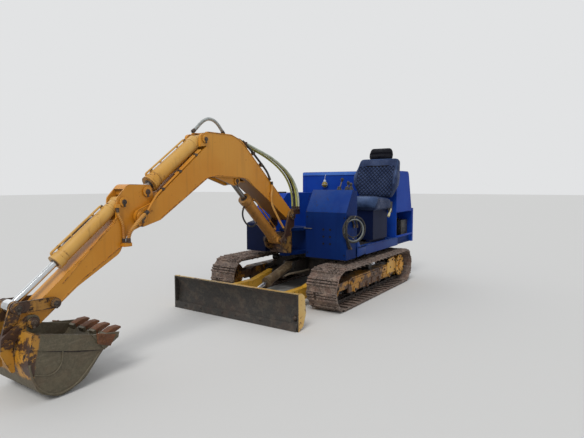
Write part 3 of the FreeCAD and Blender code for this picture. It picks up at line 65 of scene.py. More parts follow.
class Body(Enum):
    """The bodies that pieces ride on."""

    UNDERCARRIAGE = "undercarriage"
    UPPER = "upper"
    SWING = "swing_post"
    BOOM = "boom"
    ARM = "arm"
    BUCKET = "bucket"
    BLADE = "blade"
    DOOR = "rear_door"
    ARM_BARREL = "arm_barrel"
    ARM_PISTON = "arm_piston"
    BOOM_BARREL = "boom_barrel"
    BOOM_PISTON = "boom_piston"
    BUCKET_BARREL = "bucket_barrel"
    BUCKET_PISTON = "bucket_piston"
    BLADE_BARREL = "blade_barrel"
    BLADE_PISTON = "blade_piston"
    PUSH_LINK = "push_link"
    TIPPING_LINK = "tipping_link"


class Slot(Enum):
    """The record's material slots."""

    TRACK = "steel_track"
    YELLOW = "yellow_paint"
    BLUE = "blue_paint"
    DARK = "dark_steel"
    WORN = "worn_steel"
    CHROME = "chrome"
    SEAT = "seat_fabric"
    RUBBER = "hose_rubber"
    PALE_HOSE = "yellow_hose"
    GUARD = "steel_guard"
    LAMP = "lamp_yellow"


def at(x: float, y: float, z: float) -> Vector:
    """A place in the frame, in metres, from the drawing's millimetres."""
    return Vector(((x - MIDDLE_X) * SCALE, y * SCALE, z * SCALE))


def rgb(red: int, green: int, blue: int) -> Colour:
    """A linear colour from the 0 to 255 values of a paint chart.

    Args:
        red: The red value.
        green: The green value.
        blue: The blue value.

    Returns:
        The colour with full opacity.
    """
    parts = []
    for value in (red, green, blue):
        share = value / 255
        parts.append(share / 12.92 if share <= 0.04045 else ((share + 0.055) / 1.055) ** 2.4)
    return (parts[0], parts[1], parts[2], 1.0)


class Wiring:
    """Adds nodes to one shader tree and links them."""

    def __init__(self, tree: bpy.types.NodeTree) -> None:
        """Starts on an empty tree."""
        self.tree = tree
        self.tree.nodes.clear()

    def node(self, kind: str, **settings: object) -> bpy.types.Node:
        """Adds a node.

        Args:
            kind: The node's type name.
            **settings: Properties of the node, by name.

        Returns:
            The new node.
        """
        made = self.tree.nodes.new(kind)
        made.location = (200 * len(self.tree.nodes), 0)
        for name, value in settings.items():
            setattr(made, name, value)
        return made

    def feed(self, socket: bpy.types.NodeSocket, value: object) -> None:
        """Links a socket to another, or sets its value."""
        if isinstance(value, bpy.types.NodeSocket):
            self.tree.links.new(value, socket)
        else:
            socket.default_value = value

    def maths(self, operation: str, first: object, second: object = 0.0) -> bpy.types.NodeSocket:
        """A Math node's result."""
        made = self.node("ShaderNodeMath", operation=operation)
        self.feed(made.inputs[0], first)
        self.feed(made.inputs[1], second)
        return made.outputs[0]

    def span(self, value: object, low: object, high: object, start: float = 0.0, end: float = 1.0) -> bpy.types.NodeSocket:
        """A value spread smoothly from one range over another.

        Args:
            value: The value.
            low: Where the range starts.
            high: Where the range ends.
            start: The result at and under low.
            end: The result at and over high.

        Returns:
            The clamped result.
        """
        made = self.node("ShaderNodeMapRange", interpolation_type="SMOOTHSTEP")
        for index, item in enumerate((value, low, high, start, end)):
            self.feed(made.inputs[index], item)
        return made.outputs[0]

    def mix(self, factor: object, first: object, second: object) -> bpy.types.NodeSocket:
        """Two colours mixed by a factor."""
        made = self.node("ShaderNodeMix", data_type="RGBA")
        self.feed(made.inputs[0], factor)
        self.feed(made.inputs[6], first)
        self.feed(made.inputs[7], second)
        return made.outputs[2]

    def noise(self, vector: object, scale: object, detail: float = 4.0, rough: float = 0.55) -> bpy.types.NodeSocket:
        """The value of a Noise Texture.

        Args:
            vector: The coordinates.
            scale: The texture's scale.
            detail: Its detail.
            rough: Its roughness.

        Returns:
            The factor socket.
        """
        made = self.node("ShaderNodeTexNoise", noise_dimensions="3D")
        self.feed(made.inputs["Vector"], vector)
        self.feed(made.inputs["Scale"], scale)
        made.inputs["Detail"].default_value = detail
        made.inputs["Roughness"].default_value = rough
        return made.outputs["Fac"]

    def stretch(self, vector: object, x: float, y: float, z: float) -> bpy.types.NodeSocket:
        """Coordinates scaled by axis."""
        made = self.node("ShaderNodeMapping")
        self.feed(made.inputs["Vector"], vector)
        made.inputs["Scale"].default_value = (x, y, z)
        return made.outputs["Vector"]

    def group(self, tree: bpy.types.NodeTree, **values: object) -> bpy.types.Node:
        """Places a node group with its own values."""
        made = self.node("ShaderNodeGroup")
        made.node_tree = tree
        for name, value in values.items():
            self.feed(made.inputs[name.replace("_", " ")], value)
        return made


def new_group(name: str, inputs: Sequence[tuple[str, str, object]], outputs: Sequence[tuple[str, str]]) -> Wiring:
    """Makes a node group with named sockets.

    Args:
        name: The group's name.
        inputs: Name, socket type and default value of each input.
        outputs: Name and socket type of each output.

    Returns:
        The wiring of the group's tree.
    """
    tree = bpy.data.node_groups.new(name, "ShaderNodeTree")
    for title, kind, value in inputs:
        socket = tree.interface.new_socket(title, in_out="INPUT", socket_type=kind)
        if value is not None:
            socket.default_value = value
    for title, kind in outputs:
        tree.interface.new_socket(title, in_out="OUTPUT", socket_type=kind)
    return Wiring(tree)


class Effects:
    """The node groups that several finishes share, each built once."""

    def __init__(self) -> None:
        """Builds the groups."""
        self.weather = self.build_weather()
        self.metal = self.build_metal()

    def build_weather(self) -> bpy.types.NodeTree:
        """Chips at edges, rust round them, dust, rain streaks, uneven fading, and painted shade on faces that look
        down.

        Returns:
            The group, with masks from 0 to 1 and a height.
        """
        wires = new_group(
            "paint_weather",
            [
                ("Chips", "NodeSocketFloat", 0.5),
                ("Dust", "NodeSocketFloat", 0.5),
                ("Low", "NodeSocketFloat", 0.6),
                ("Edge", "NodeSocketFloat", 0.006),
                ("Patches", "NodeSocketFloat", 0.0),
            ],
            [
                ("Chip", "NodeSocketFloat"),
                ("Rust", "NodeSocketFloat"),
                ("Dust", "NodeSocketFloat"),
                ("Streak", "NodeSocketFloat"),
                ("Fade", "NodeSocketFloat"),
                ("Height", "NodeSocketFloat"),
                ("Patch", "NodeSocketFloat"),
                ("Under Shade", "NodeSocketFloat"),
            ],
        )
        given = wires.node("NodeGroupInput")
        place = wires.node("ShaderNodeTexCoord")
        spot = place.outputs["Object"]
        facing = wires.node("ShaderNodeSeparateXYZ")
        wires.feed(facing.inputs[0], place.outputs["Normal"])
        height = wires.node("ShaderNodeSeparateXYZ")
        wires.feed(height.inputs[0], spot)
        rounded = wires.node("ShaderNodeBevel", samples=4)
        wires.feed(rounded.inputs["Radius"], given.outputs["Edge"])
        flat = wires.node("ShaderNodeNewGeometry")
        turn = wires.node("ShaderNodeVectorMath", operation="DOT_PRODUCT")
        wires.feed(turn.inputs[0], rounded.outputs[0])
        wires.feed(turn.inputs[1], flat.outputs["Normal"])
        edge = wires.span(turn.outputs["Value"], 0.999, 0.93)
        patches = wires.noise(spot, 3.2, 3.0)
        grain = wires.noise(spot, 24.0, 9.0, 0.7)
        worn = wires.maths("ADD", grain, wires.maths("MULTIPLY", patches, 0.45))
        worn = wires.maths("ADD", worn, wires.maths("MULTIPLY", edge, 0.17))
        limit = wires.maths("SUBTRACT", 1.02, wires.maths("MULTIPLY", given.outputs["Chips"], 0.24))
        chip = wires.span(worn, limit, wires.maths("ADD", limit, 0.025))
        rust = wires.span(worn, wires.maths("SUBTRACT", limit, 0.07), limit)
        cloud = wires.noise(spot, 9.0, 6.0, 0.65)
        up = wires.span(facing.outputs["Z"], 0.25, 0.95)
        low = wires.span(height.outputs["Z"], given.outputs["Low"], 0.0)
        settled = wires.maths("ADD", wires.maths("MULTIPLY", up, 0.65), wires.maths("MULTIPLY", low, 0.8))
        settled = wires.maths("MULTIPLY", settled, wires.span(cloud, 0.36, 0.66))
        dust = wires.maths("MULTIPLY", settled, given.outputs["Dust"])
        rain = wires.noise(wires.stretch(spot, 26.0, 26.0, 1.6), 1.0, 5.0, 0.6)
        streak = wires.maths("MULTIPLY", wires.span(rain, 0.52, 0.72), wires.span(up, 0.6, 0.0))
        fade = wires.span(wires.noise(spot, 1.7, 4.0), 0.35, 0.68)
        peel = wires.maths("MULTIPLY", wires.noise(spot, 160.0, 2.0), 0.12)
        lift = wires.maths("SUBTRACT", wires.maths("ADD", peel, wires.maths("MULTIPLY", dust, 0.35)), chip)
        blotch = wires.noise(wires.stretch(spot, 6.5, 6.5, 8.5), 1.0, 9.0, 0.68)
        bound = wires.maths("SUBTRACT", 0.78, wires.maths("MULTIPLY", given.outputs["Patches"], 0.36))
        patch = wires.span(blotch, bound, wires.maths("ADD", bound, 0.07))
        # painted shade: a mask for faces that look down, which Paint darkens as if they were in shade
        under = wires.span(facing.outputs["Z"], -0.1, -0.6)
        results = (chip, rust, dust, streak, fade, lift, patch, under)
        ending = wires.node("NodeGroupOutput")
        for index, result in enumerate(results):
            wires.feed(ending.inputs[index], result)
        return wires.tree

    def build_metal(self) -> bpy.types.NodeTree:
        """Bare steel outdoors: scratches along one axis, rust blooms, caked earth and pits.

        Returns:
            The group, with masks from 0 to 1 and a height.
        """
        wires = new_group(
            "bare_metal",
            [("Vector", "NodeSocketVector", None), ("Size", "NodeSocketFloat", 1.0)],
            [
                ("Scratch", "NodeSocketFloat"),
                ("Bloom", "NodeSocketFloat"),
                ("Earth", "NodeSocketFloat"),
                ("Pits", "NodeSocketFloat"),
                ("Edge", "NodeSocketFloat"),
                ("Height", "NodeSocketFloat"),
            ],
        )
        given = wires.node("NodeGroupInput")
        spot = wires.node("ShaderNodeVectorMath", operation="SCALE")
        wires.feed(spot.inputs[0], given.outputs["Vector"])
        wires.feed(spot.inputs["Scale"], given.outputs["Size"])
        spot = spot.outputs[0]
        lines = wires.noise(wires.stretch(spot, 9.0, 170.0, 60.0), 1.0, 4.0, 0.7)
        scratch = wires.span(lines, 0.5, 0.74)
        bloom = wires.span(wires.noise(spot, 7.0, 8.0, 0.7), 0.44, 0.68)
        earth = wires.span(wires.noise(spot, 15.0, 6.0, 0.62), 0.5, 0.62)
        fine = wires.noise(spot, 75.0, 8.0, 0.75)
        pits = wires.span(fine, 0.4, 0.7)
        rounded = wires.node("ShaderNodeBevel", samples=4)
        rounded.inputs["Radius"].default_value = 0.005
        flat = wires.node("ShaderNodeNewGeometry")
        turn = wires.node("ShaderNodeVectorMath", operation="DOT_PRODUCT")
        wires.feed(turn.inputs[0], rounded.outputs[0])
        wires.feed(turn.inputs[1], flat.outputs["Normal"])
        edge = wires.maths("MULTIPLY", wires.span(turn.outputs["Value"], 0.999, 0.9), wires.span(fine, 0.35, 0.6))
        lift = wires.maths("ADD", wires.maths("MULTIPLY", fine, 0.5), wires.maths("MULTIPLY", earth, 0.7))
        lift = wires.maths("SUBTRACT", lift, wires.maths("MULTIPLY", scratch, 0.12))
        ending = wires.node("NodeGroupOutput")
        for index, result in enumerate((scratch, bloom, earth, pits, edge, lift)):
            wires.feed(ending.inputs[index], result)
        return wires.tree


EFFECTS = Effects()


def start_material(name: str) -> tuple[Wiring, bpy.types.Node, bpy.types.Material]:
    """A new material with its Principled shader wired to the output."""
    material = bpy.data.materials.new(name)
    material.use_nodes = True
    wires = Wiring(material.node_tree)
    shader = wires.node("ShaderNodeBsdfPrincipled")
    ending = wires.node("ShaderNodeOutputMaterial")
    wires.feed(ending.inputs["Surface"], shader.outputs["BSDF"])
    return wires, shader, material


def add_bump(wires: Wiring, shader: bpy.types.Node, height: object, depth: float, strength: float = 1.0) -> None:
    """Feeds a height to the shader's normal.

    Args:
        wires: The material's wiring.
        shader: The Principled shader.
        height: The height socket.
        depth: The depth of a height of 1, in metres.
        strength: How much of it shows.
    """
    bump = wires.node("ShaderNodeBump")
    bump.inputs["Strength"].default_value = strength
    bump.inputs["Distance"].default_value = depth
    wires.feed(bump.inputs["Height"], height)
    wires.feed(shader.inputs["Normal"], bump.outputs["Normal"])


@dataclass(frozen=True)
class Paint:
    """Weathered machine paint over steel, with painted shade on its faces that look down."""

    name: str
    colour: Colour
    faded: Colour
    grime_and_shade: Colour
    rust: Colour = rgb(112, 62, 34)
    bare: Colour = rgb(58, 42, 34)
    dust: Colour = rgb(150, 134, 112)
    gloss: float = 0.42
    chips: float = 0.5
    dusty: float = 0.5
    low: float = 0.6
    streaks: float = 0.25
    edge: float = 0.006
    patches: float = 0.0
    # under: how far faces that look down are darkened, as painted shade
    under: float = 0.3
    specular: float = 0.4

    def material(self) -> bpy.types.Material:
        """The material, made on first use."""
        if self.name in bpy.data.materials:
            return bpy.data.materials[self.name]
        wires, shader, material = start_material(self.name)
        wear = wires.group(
            EFFECTS.weather, Chips=self.chips, Dust=self.dusty, Low=self.low, Edge=self.edge, Patches=self.patches
        )
        colour = wires.mix(wear.outputs["Fade"], self.colour, self.faded)
        # painted shade: faces that look down are darkened towards the grime colour
        colour = wires.mix(wires.maths("MULTIPLY", wear.outputs["Under Shade"], self.under), colour, self.grime_and_shade)
        colour = wires.mix(wires.maths("MULTIPLY", wear.outputs["Streak"], self.streaks), colour, self.grime_and_shade)
        colour = wires.mix(wear.outputs["Patch"], colour, self.rust)
        colour = wires.mix(wear.outputs["Dust"], colour, self.dust)
        colour = wires.mix(wires.maths("MULTIPLY", wear.outputs["Rust"], 0.8), colour, self.rust)
        colour = wires.mix(wear.outputs["Chip"], colour, self.bare)
        wires.feed(shader.inputs["Base Color"], colour)
        dull = wires.maths("MAXIMUM", wear.outputs["Dust"], wear.outputs["Rust"])
        wires.feed(shader.inputs["Roughness"], wires.span(dull, 0.0, 1.0, self.gloss, 0.85))
        shader.inputs["Specular IOR Level"].default_value = self.specular
        add_bump(wires, shader, wear.outputs["Height"], 0.0006)
        return material


@dataclass(frozen=True)
class Steel:
    """Bare or scraped steel with rust and dried earth."""

    name: str
    dark: Colour
    middle: Colour
    light: Colour
    rust: Colour = rgb(116, 70, 46)
    earth: Colour = rgb(140, 122, 100)
    rusty: float = 0.5
    earthy: float = 0.4
    scratched: float = 0.4
    shine: float = 0.25
    rough: float = 0.6
    size: float = 1.0
    relief: float = 0.0012

    def material(self) -> bpy.types.Material:
        """The material, made on first use."""
        if self.name in bpy.data.materials:
            return bpy.data.materials[self.name]
        wires, shader, material = start_material(self.name)
        place = wires.node("ShaderNodeTexCoord")
        look = wires.group(EFFECTS.metal, Vector=place.outputs["Object"], Size=self.size)
        colour = wires.mix(look.outputs["Pits"], self.dark, self.middle)
        colour = wires.mix(wires.maths("MULTIPLY", look.outputs["Bloom"], self.rusty), colour, self.rust)
        colour = wires.mix(wires.maths("MULTIPLY", look.outputs["Scratch"], self.scratched), colour, self.light)
        colour = wires.mix(wires.maths("MULTIPLY", look.outputs["Edge"], 0.6), colour, self.light)
        earth = wires.maths("MULTIPLY", look.outputs["Earth"], self.earthy)
        colour = wires.mix(earth, colour, self.earth)
        wires.feed(shader.inputs["Base Color"], colour)
        wires.feed(shader.inputs["Roughness"], wires.span(look.outputs["Pits"], 0.0, 1.0, self.rough, self.rough + 0.25))
        shine = wires.maths("MULTIPLY", wires.maths("SUBTRACT", 1.0, earth), self.shine)
        wires.feed(shader.inputs["Metallic"], shine)
        add_bump(wires, shader, look.outputs["Height"], self.relief)
        return material


@dataclass(frozen=True)
class PartPaint:
    """Steel that keeps paint on some of its faces, with a ragged line between.

    The line is where a weighted sum of the face's direction and of its place crosses zero.
    """

    name: str
    paint: Paint
    steel: Steel
    facing: Place = (0.0, 0.0, 0.0)
    place: Place = (0.0, 0.0, 0.0)
    inward: float = 0.0
    offset: float = 0.0
    soft: float = 0.05

    def material(self) -> bpy.types.Material:
        """The material, made on first use."""
        if self.name in bpy.data.materials:
            return bpy.data.materials[self.name]
        wires, shader, material = start_material(self.name)
        spot = wires.node("ShaderNodeTexCoord")
        wear = wires.group(
            EFFECTS.weather, Chips=self.paint.chips, Dust=self.paint.dusty, Low=0.5, Edge=0.006,
            Patches=self.paint.patches,
        )
        look = wires.group(EFFECTS.metal, Vector=spot.outputs["Object"], Size=self.steel.size)
        paint = wires.mix(wear.outputs["Fade"], self.paint.colour, self.paint.faded)
        paint = wires.mix(wear.outputs["Patch"], paint, self.paint.rust)
        paint = wires.mix(wear.outputs["Rust"], paint, self.paint.rust)
        paint = wires.mix(wear.outputs["Chip"], paint, self.paint.bare)
        steel = wires.mix(look.outputs["Pits"], self.steel.dark, self.steel.middle)
        steel = wires.mix(wires.maths("MULTIPLY", look.outputs["Bloom"], self.steel.rusty), steel, self.steel.rust)
        scratch = wires.maths("MULTIPLY", look.outputs["Scratch"], self.steel.scratched)
        steel = wires.mix(scratch, steel, self.steel.light)
        earth = wires.maths("MULTIPLY", look.outputs["Earth"], self.steel.earthy)
        steel = wires.mix(earth, steel, self.steel.earth)
        total = wires.maths("ADD", wires.maths("MULTIPLY", look.outputs["Bloom"], self.soft * 2), self.offset)
        for weights, socket in ((self.facing, "Normal"), (self.place, "Object")):
            turned = wires.node("ShaderNodeVectorMath", operation="DOT_PRODUCT")
            wires.feed(turned.inputs[0], spot.outputs[socket])
            turned.inputs[1].default_value = weights
            total = wires.maths("ADD", total, turned.outputs["Value"])
        sides = []
        for socket in ("Normal", "Object"):
            split = wires.node("ShaderNodeSeparateXYZ")
            wires.feed(split.inputs[0], spot.outputs[socket])
            sides.append(wires.maths("SIGN", split.outputs["Y"]))
        flank = wires.span(wires.maths("MULTIPLY", sides[0], sides[1]), -0.5, -0.9)
        level = wires.node("ShaderNodeSeparateXYZ")
        wires.feed(level.inputs[0], spot.outputs["Normal"])
        flank = wires.maths("MULTIPLY", flank, wires.span(wires.maths("ABSOLUTE", level.outputs["Y"]), 0.6, 0.9))
        total = wires.maths("ADD", total, wires.maths("MULTIPLY", flank, self.inward))
        scraped = wires.span(total, -self.soft, self.soft)
        wires.feed(shader.inputs["Base Color"], wires.mix(scraped, paint, steel))
        wires.feed(shader.inputs["Roughness"], wires.span(scraped, 0.0, 1.0, 0.5, self.steel.rough))
        wires.feed(shader.inputs["Metallic"], wires.maths("MULTIPLY", scraped, self.steel.shine))
        add_bump(wires, shader, look.outputs["Height"], self.steel.relief)
        return material


@dataclass(frozen=True)
class Chrome:
    """A polished cylinder rod with a thin film of oil and dust."""

    name: str
    colour: Colour = rgb(205, 208, 210)
    film: Colour = rgb(120, 112, 100)
    rough: float = 0.16

    def material(self) -> bpy.types.Material:
        """The material, made on first use."""
        if self.name in bpy.data.materials:
            return bpy.data.materials[self.name]
        wires, shader, material = start_material(self.name)
        place = wires.node("ShaderNodeTexCoord")
        look = wires.group(EFFECTS.metal, Vector=place.outputs["Object"], Size=1.3)
        film = wires.maths("MULTIPLY", look.outputs["Bloom"], 0.3)
        wires.feed(shader.inputs["Base Color"], wires.mix(film, self.colour, self.film))
        wires.feed(shader.inputs["Roughness"], wires.span(film, 0.0, 0.3, self.rough, self.rough + 0.2))
        shader.inputs["Metallic"].default_value = 1.0
        add_bump(wires, shader, look.outputs["Scratch"], 0.00004)
        return material


@dataclass(frozen=True)
class Rubber:
    """Rubber or plastic: hoses, boots, knobs and lamp glass."""

    name: str
    colour: Colour
    worn: Colour
    rough: float = 0.6
    grain: float = 140.0
    relief: float = 0.0003
    dusty: float = 0.4

    def material(self) -> bpy.types.Material:
        """The material, made on first use."""
        if self.name in bpy.data.materials:
            return bpy.data.materials[self.name]
        wires, shader, material = start_material(self.name)
        place = wires.node("ShaderNodeTexCoord")
        spot = place.outputs["Object"]
        cloud = wires.span(wires.noise(spot, 11.0, 6.0, 0.65), 0.38, 0.68)
        colour = wires.mix(cloud, self.colour, self.worn)
        dust = wires.maths("MULTIPLY", wires.span(wires.noise(spot, 34.0, 7.0, 0.7), 0.5, 0.72), self.dusty)
        wires.feed(shader.inputs["Base Color"], wires.mix(dust, colour, rgb(140, 126, 106)))
        wires.feed(shader.inputs["Roughness"], wires.span(cloud, 0.0, 1.0, self.rough, self.rough + 0.2))
        add_bump(wires, shader, wires.noise(spot, self.grain, 3.0), self.relief)
        return material


@dataclass(frozen=True)
class SeatCover:
    """Worn leathercloth with a fine grain, paler where it is rubbed, with random stains, and with painted shade in its
    quilting grooves.
    """

    name: str
    colour: Colour
    rubbed: Colour
    # crease colours the random stains and, as painted shade, the quilting grooves
    crease: Colour
    rubbing: float = 0.5
    specular: float = 0.22

    def material(self) -> bpy.types.Material:
        """The material, made on first use."""
        if self.name in bpy.data.materials:
            return bpy.data.materials[self.name]
        wires, shader, material = start_material(self.name)
        place = wires.node("ShaderNodeTexCoord")
        spot = place.outputs["Object"]
        cells = wires.node("ShaderNodeTexVoronoi", feature="DISTANCE_TO_EDGE")
        wires.feed(cells.inputs["Vector"], spot)
        cells.inputs["Scale"].default_value = 420.0
        grain = wires.span(cells.outputs["Distance"], 0.0, 0.25)
        patch = wires.span(wires.noise(spot, 5.5, 6.0, 0.6), 0.36, 0.64)
        colour = wires.mix(wires.maths("MULTIPLY", patch, self.rubbing), self.colour, self.rubbed)
        stain = wires.span(wires.noise(spot, 19.0, 8.0, 0.7), 0.52, 0.72)
        colour = wires.mix(wires.maths("MULTIPLY", stain, 0.45), colour, self.crease)
        # painted shade: the quilting grooves, from the mesh's groove attribute, are darkened towards the crease colour
        groove_shade = wires.node("ShaderNodeAttribute", attribute_name="groove")
        colour = wires.mix(wires.maths("MULTIPLY", groove_shade.outputs["Fac"], 0.85), colour, self.crease)
        wires.feed(shader.inputs["Base Color"], colour)
        wires.feed(shader.inputs["Roughness"], wires.span(patch, 0.0, 1.0, 0.62, 0.42))
        shader.inputs["Specular IOR Level"].default_value = self.specular
        wrinkle = wires.maths("MULTIPLY", wires.noise(spot, 38.0, 4.0, 0.6), 1.6)
        add_bump(wires, shader, wires.maths("ADD", grain, wrinkle), 0.0007)
        return material


class Finishes:
    """Every finish on the machine, named by where it is used."""

    # Each paint's under value sets its painted shade on faces that look down, such as the boom's belly.
    ochre = Paint(
        "ochre_paint", rgb(198, 128, 26), rgb(206, 142, 46), rgb(84, 56, 26), dust=rgb(160, 128, 84),
        chips=0.34, dusty=0.25, low=0.5, streaks=0.16, under=0.85,
    )
    barrel = Paint(
        "barrel_paint", rgb(196, 138, 46), rgb(210, 164, 86), rgb(92, 66, 34), dust=rgb(176, 152, 112),
        chips=0.5, dusty=0.4, low=0.4, streaks=0.3, patches=0.25, under=0.3,
    )
    boom_ram = Paint(
        "boom_ram_paint", rgb(168, 112, 40), rgb(186, 134, 62), rgb(78, 54, 28), dust=rgb(140, 116, 84),
        chips=0.55, dusty=0.4, low=0.5, streaks=0.5, patches=0.45, under=0.5,
    )
    linkage = Paint(
        "linkage_paint", rgb(184, 130, 38), rgb(150, 104, 42), rgb(50, 36, 26), rust=rgb(66, 42, 28),
        bare=rgb(30, 24, 22), chips=0.78, dusty=0.4, low=0.7, streaks=0.6, edge=0.01, patches=0.88, under=0.8,
    )
    frame_yellow = Paint(
        "track_frame_paint", rgb(206, 144, 40), rgb(182, 122, 42), rgb(56, 42, 32), rust=rgb(86, 56, 36),
        bare=rgb(48, 36, 30), dust=rgb(122, 102, 78), chips=0.62, dusty=0.7, low=0.5, streaks=0.5, edge=0.009,
        patches=0.92, under=0.9,
    )
    drive_yellow = Paint(
        "drive_cover_paint", rgb(232, 176, 74), rgb(220, 156, 58), rgb(122, 84, 44), rust=rgb(116, 72, 38),
        bare=rgb(58, 42, 32), dust=rgb(168, 140, 100), chips=0.55, dusty=0.3, low=0.3, streaks=0.3, edge=0.007,
        patches=0.36, under=0.6,
    )
    arm_yellow = Paint(
        "blade_arm_paint", rgb(214, 158, 36), rgb(222, 172, 66), rgb(104, 76, 36), dust=rgb(150, 128, 92),
        chips=0.5, dusty=0.3, low=0.3, streaks=0.3, patches=0.35, under=0.7,
    )
    edge_cream = Paint(
        "blade_edge_paint", rgb(210, 160, 70), rgb(206, 176, 112), rgb(120, 92, 52), chips=0.6, dusty=0.3, low=0.3,
        patches=0.3,
    )
    post = Paint(
        "swing_post_paint", rgb(156, 118, 58), rgb(120, 86, 48), rgb(40, 30, 24), rust=rgb(66, 44, 32),
        bare=rgb(36, 28, 24), dust=rgb(104, 88, 68), chips=0.8, dusty=0.4, low=0.6, streaks=0.8, edge=0.009,
        patches=1.0, under=0.8,
    )
    blue = Paint(
        "body_blue_paint", rgb(17, 55, 146), rgb(25, 68, 160), rgb(11, 30, 84), rust=rgb(62, 54, 66),
        bare=rgb(34, 38, 54), dust=rgb(86, 98, 128), chips=0.22, dusty=0.16, low=0.5, streaks=0.25, gloss=0.48,
        under=0.6, specular=0.06,
    )
    # A darker copy of the body blue: painted shade on the console and the deck.
    blue_painted_shade = Paint(
        "console_blue_paint", rgb(10, 34, 88), rgb(14, 46, 104), rgb(8, 20, 52), rust=rgb(50, 46, 58),
        bare=rgb(28, 30, 42), dust=rgb(66, 72, 92), chips=0.26, dusty=0.16, low=0.5, gloss=0.5, under=0.7,
        specular=0.06,
    )
    # A still darker copy of the body blue: painted shade under the seat, on the front box and on the console's screws.
    blue_deep_painted_shade = Paint(
        "shaded_blue_paint", rgb(12, 20, 48), rgb(16, 26, 58), rgb(8, 10, 22), rust=rgb(40, 34, 34),
        bare=rgb(22, 20, 24), dust=rgb(52, 52, 58), chips=0.4, dusty=0.2, low=0.5, gloss=0.5, patches=0.2,
        specular=0.08,
    )
    blue_floor = Paint(
        "floor_blue_paint", rgb(14, 46, 116), rgb(26, 64, 132), rgb(10, 28, 68), rust=rgb(60, 56, 60),
        bare=rgb(38, 42, 52), dust=rgb(86, 98, 118), chips=0.45, dusty=0.35, low=0.6, streaks=0.3, gloss=0.4,
        under=0.6, specular=0.1,
    )
    # A paler blue used only for the strip along the hood's top front edge: a painted highlight.
    blue_painted_highlight = Paint(
        "worn_blue_paint", rgb(48, 92, 178), rgb(74, 118, 192), rgb(20, 44, 100), rust=rgb(80, 78, 86),
        bare=rgb(44, 48, 58), dust=rgb(120, 134, 156), chips=0.35, dusty=0.3, low=0.5, specular=0.3,
    )
    shoes = Steel(
        "track_shoe_steel", rgb(66, 54, 47), rgb(138, 119, 108), rgb(188, 172, 160), rust=rgb(132, 98, 80),
        earth=rgb(158, 138, 122), rusty=0.5, earthy=0.45, scratched=0.3, shine=0.08, rough=0.7, relief=0.003,
    )
    # Packed earth between the grousers, made dark so that it is also painted shade in the gaps.
    caked_earth_and_shade = Steel(
        "track_packed_earth", rgb(34, 27, 23), rgb(66, 54, 46), rgb(96, 82, 72), rust=rgb(60, 44, 34),
        earth=rgb(112, 95, 81), rusty=0.4, earthy=0.35, scratched=0.1, shine=0.02, rough=0.8, relief=0.003,
    )
    chain = Steel(
        "track_chain_steel", rgb(28, 23, 21), rgb(52, 43, 38), rgb(88, 77, 69), rust=rgb(68, 46, 35),
        earth=rgb(76, 63, 52), rusty=0.5, earthy=0.5, scratched=0.2, shine=0.15, rough=0.65, relief=0.002,
    )
    bucket = Steel(
        "bucket_steel", rgb(84, 77, 60), rgb(106, 97, 78), rgb(132, 122, 102), rust=rgb(100, 78, 58),
        earth=rgb(112, 102, 80), rusty=0.4, earthy=0.35, scratched=0.35, shine=0.16, rough=0.62, relief=0.0009,
    )
    cutter = Steel(
        "cutter_steel", rgb(84, 50, 30), rgb(118, 72, 40), rgb(138, 100, 66), rust=rgb(130, 76, 36),
        earth=rgb(120, 88, 66), rusty=0.7, earthy=0.2, scratched=0.3, shine=0.12, rough=0.66,
    )
    blade_steel = Steel(
        "blade_steel", rgb(44, 41, 38), rgb(66, 62, 57), rgb(98, 92, 84), rust=rgb(82, 62, 50),
        earth=rgb(98, 88, 74), rusty=0.4, earthy=0.3, scratched=0.3, shine=0.25, rough=0.6,
    )
    iron = Steel(
        "greasy_iron", rgb(24, 22, 21), rgb(42, 38, 36), rgb(78, 73, 68), rust=rgb(64, 46, 36),
        earth=rgb(74, 64, 54), rusty=0.35, earthy=0.25, scratched=0.15, shine=0.3, rough=0.55, relief=0.0008,
    )
    tan_iron = Steel(
        "dusty_cylinder", rgb(72, 58, 40), rgb(104, 86, 60), rgb(140, 122, 94), rust=rgb(98, 66, 42),
        earth=rgb(126, 110, 84), rusty=0.45, earthy=0.5, scratched=0.2, shine=0.12, rough=0.62, relief=0.0008,
    )
    fastener = Steel(
        "bolt_steel", rgb(46, 38, 33), rgb(82, 70, 60), rgb(128, 118, 106), rust=rgb(94, 62, 43),
        rusty=0.6, earthy=0.2, scratched=0.3, shine=0.4, rough=0.5, relief=0.0004,
    )
    bright_bolt = Steel(
        "bright_bolt_steel", rgb(96, 92, 88), rgb(140, 136, 130), rgb(176, 172, 166), rust=rgb(110, 84, 64),
        rusty=0.3, earthy=0.2, scratched=0.3, shine=0.5, rough=0.42, relief=0.0004,
    )
    guard = Steel(
        "guard_spiral", rgb(150, 154, 152), rgb(196, 202, 200), rgb(222, 228, 226), rust=rgb(140, 128, 108),
        rusty=0.2, earthy=0.15, scratched=0.4, shine=0.2, rough=0.4, relief=0.0003,
    )
    chrome = Chrome("rod_chrome")
    dull_chrome = Chrome("rod_chrome_dull", rgb(120, 117, 114), rgb(76, 66, 56), 0.26)
    rubber = Rubber("hose_black", rgb(20, 20, 21), rgb(40, 39, 38))
    dusty_hose = Rubber("hose_dusty", rgb(92, 82, 68), rgb(122, 110, 92), rough=0.65)
    pale_hose = Rubber("hose_pale_yellow", rgb(176, 178, 92), rgb(146, 148, 70), rough=0.55)
    silver_hose = Rubber("hose_pale_grey", rgb(186, 194, 176), rgb(150, 158, 130), rough=0.5)
    grey_hose = Rubber("hose_grey", rgb(124, 128, 124), rgb(96, 100, 94), rough=0.55)
    cream_hose = Rubber("hose_cream", rgb(206, 152, 70), rgb(178, 124, 52), rough=0.55)
    orange_hose = Rubber("hose_orange", rgb(196, 132, 46), rgb(166, 102, 34), rough=0.55)
    cream = Rubber("cream_plastic", rgb(206, 198, 158), rgb(178, 168, 130), rough=0.45, dusty=0.3)
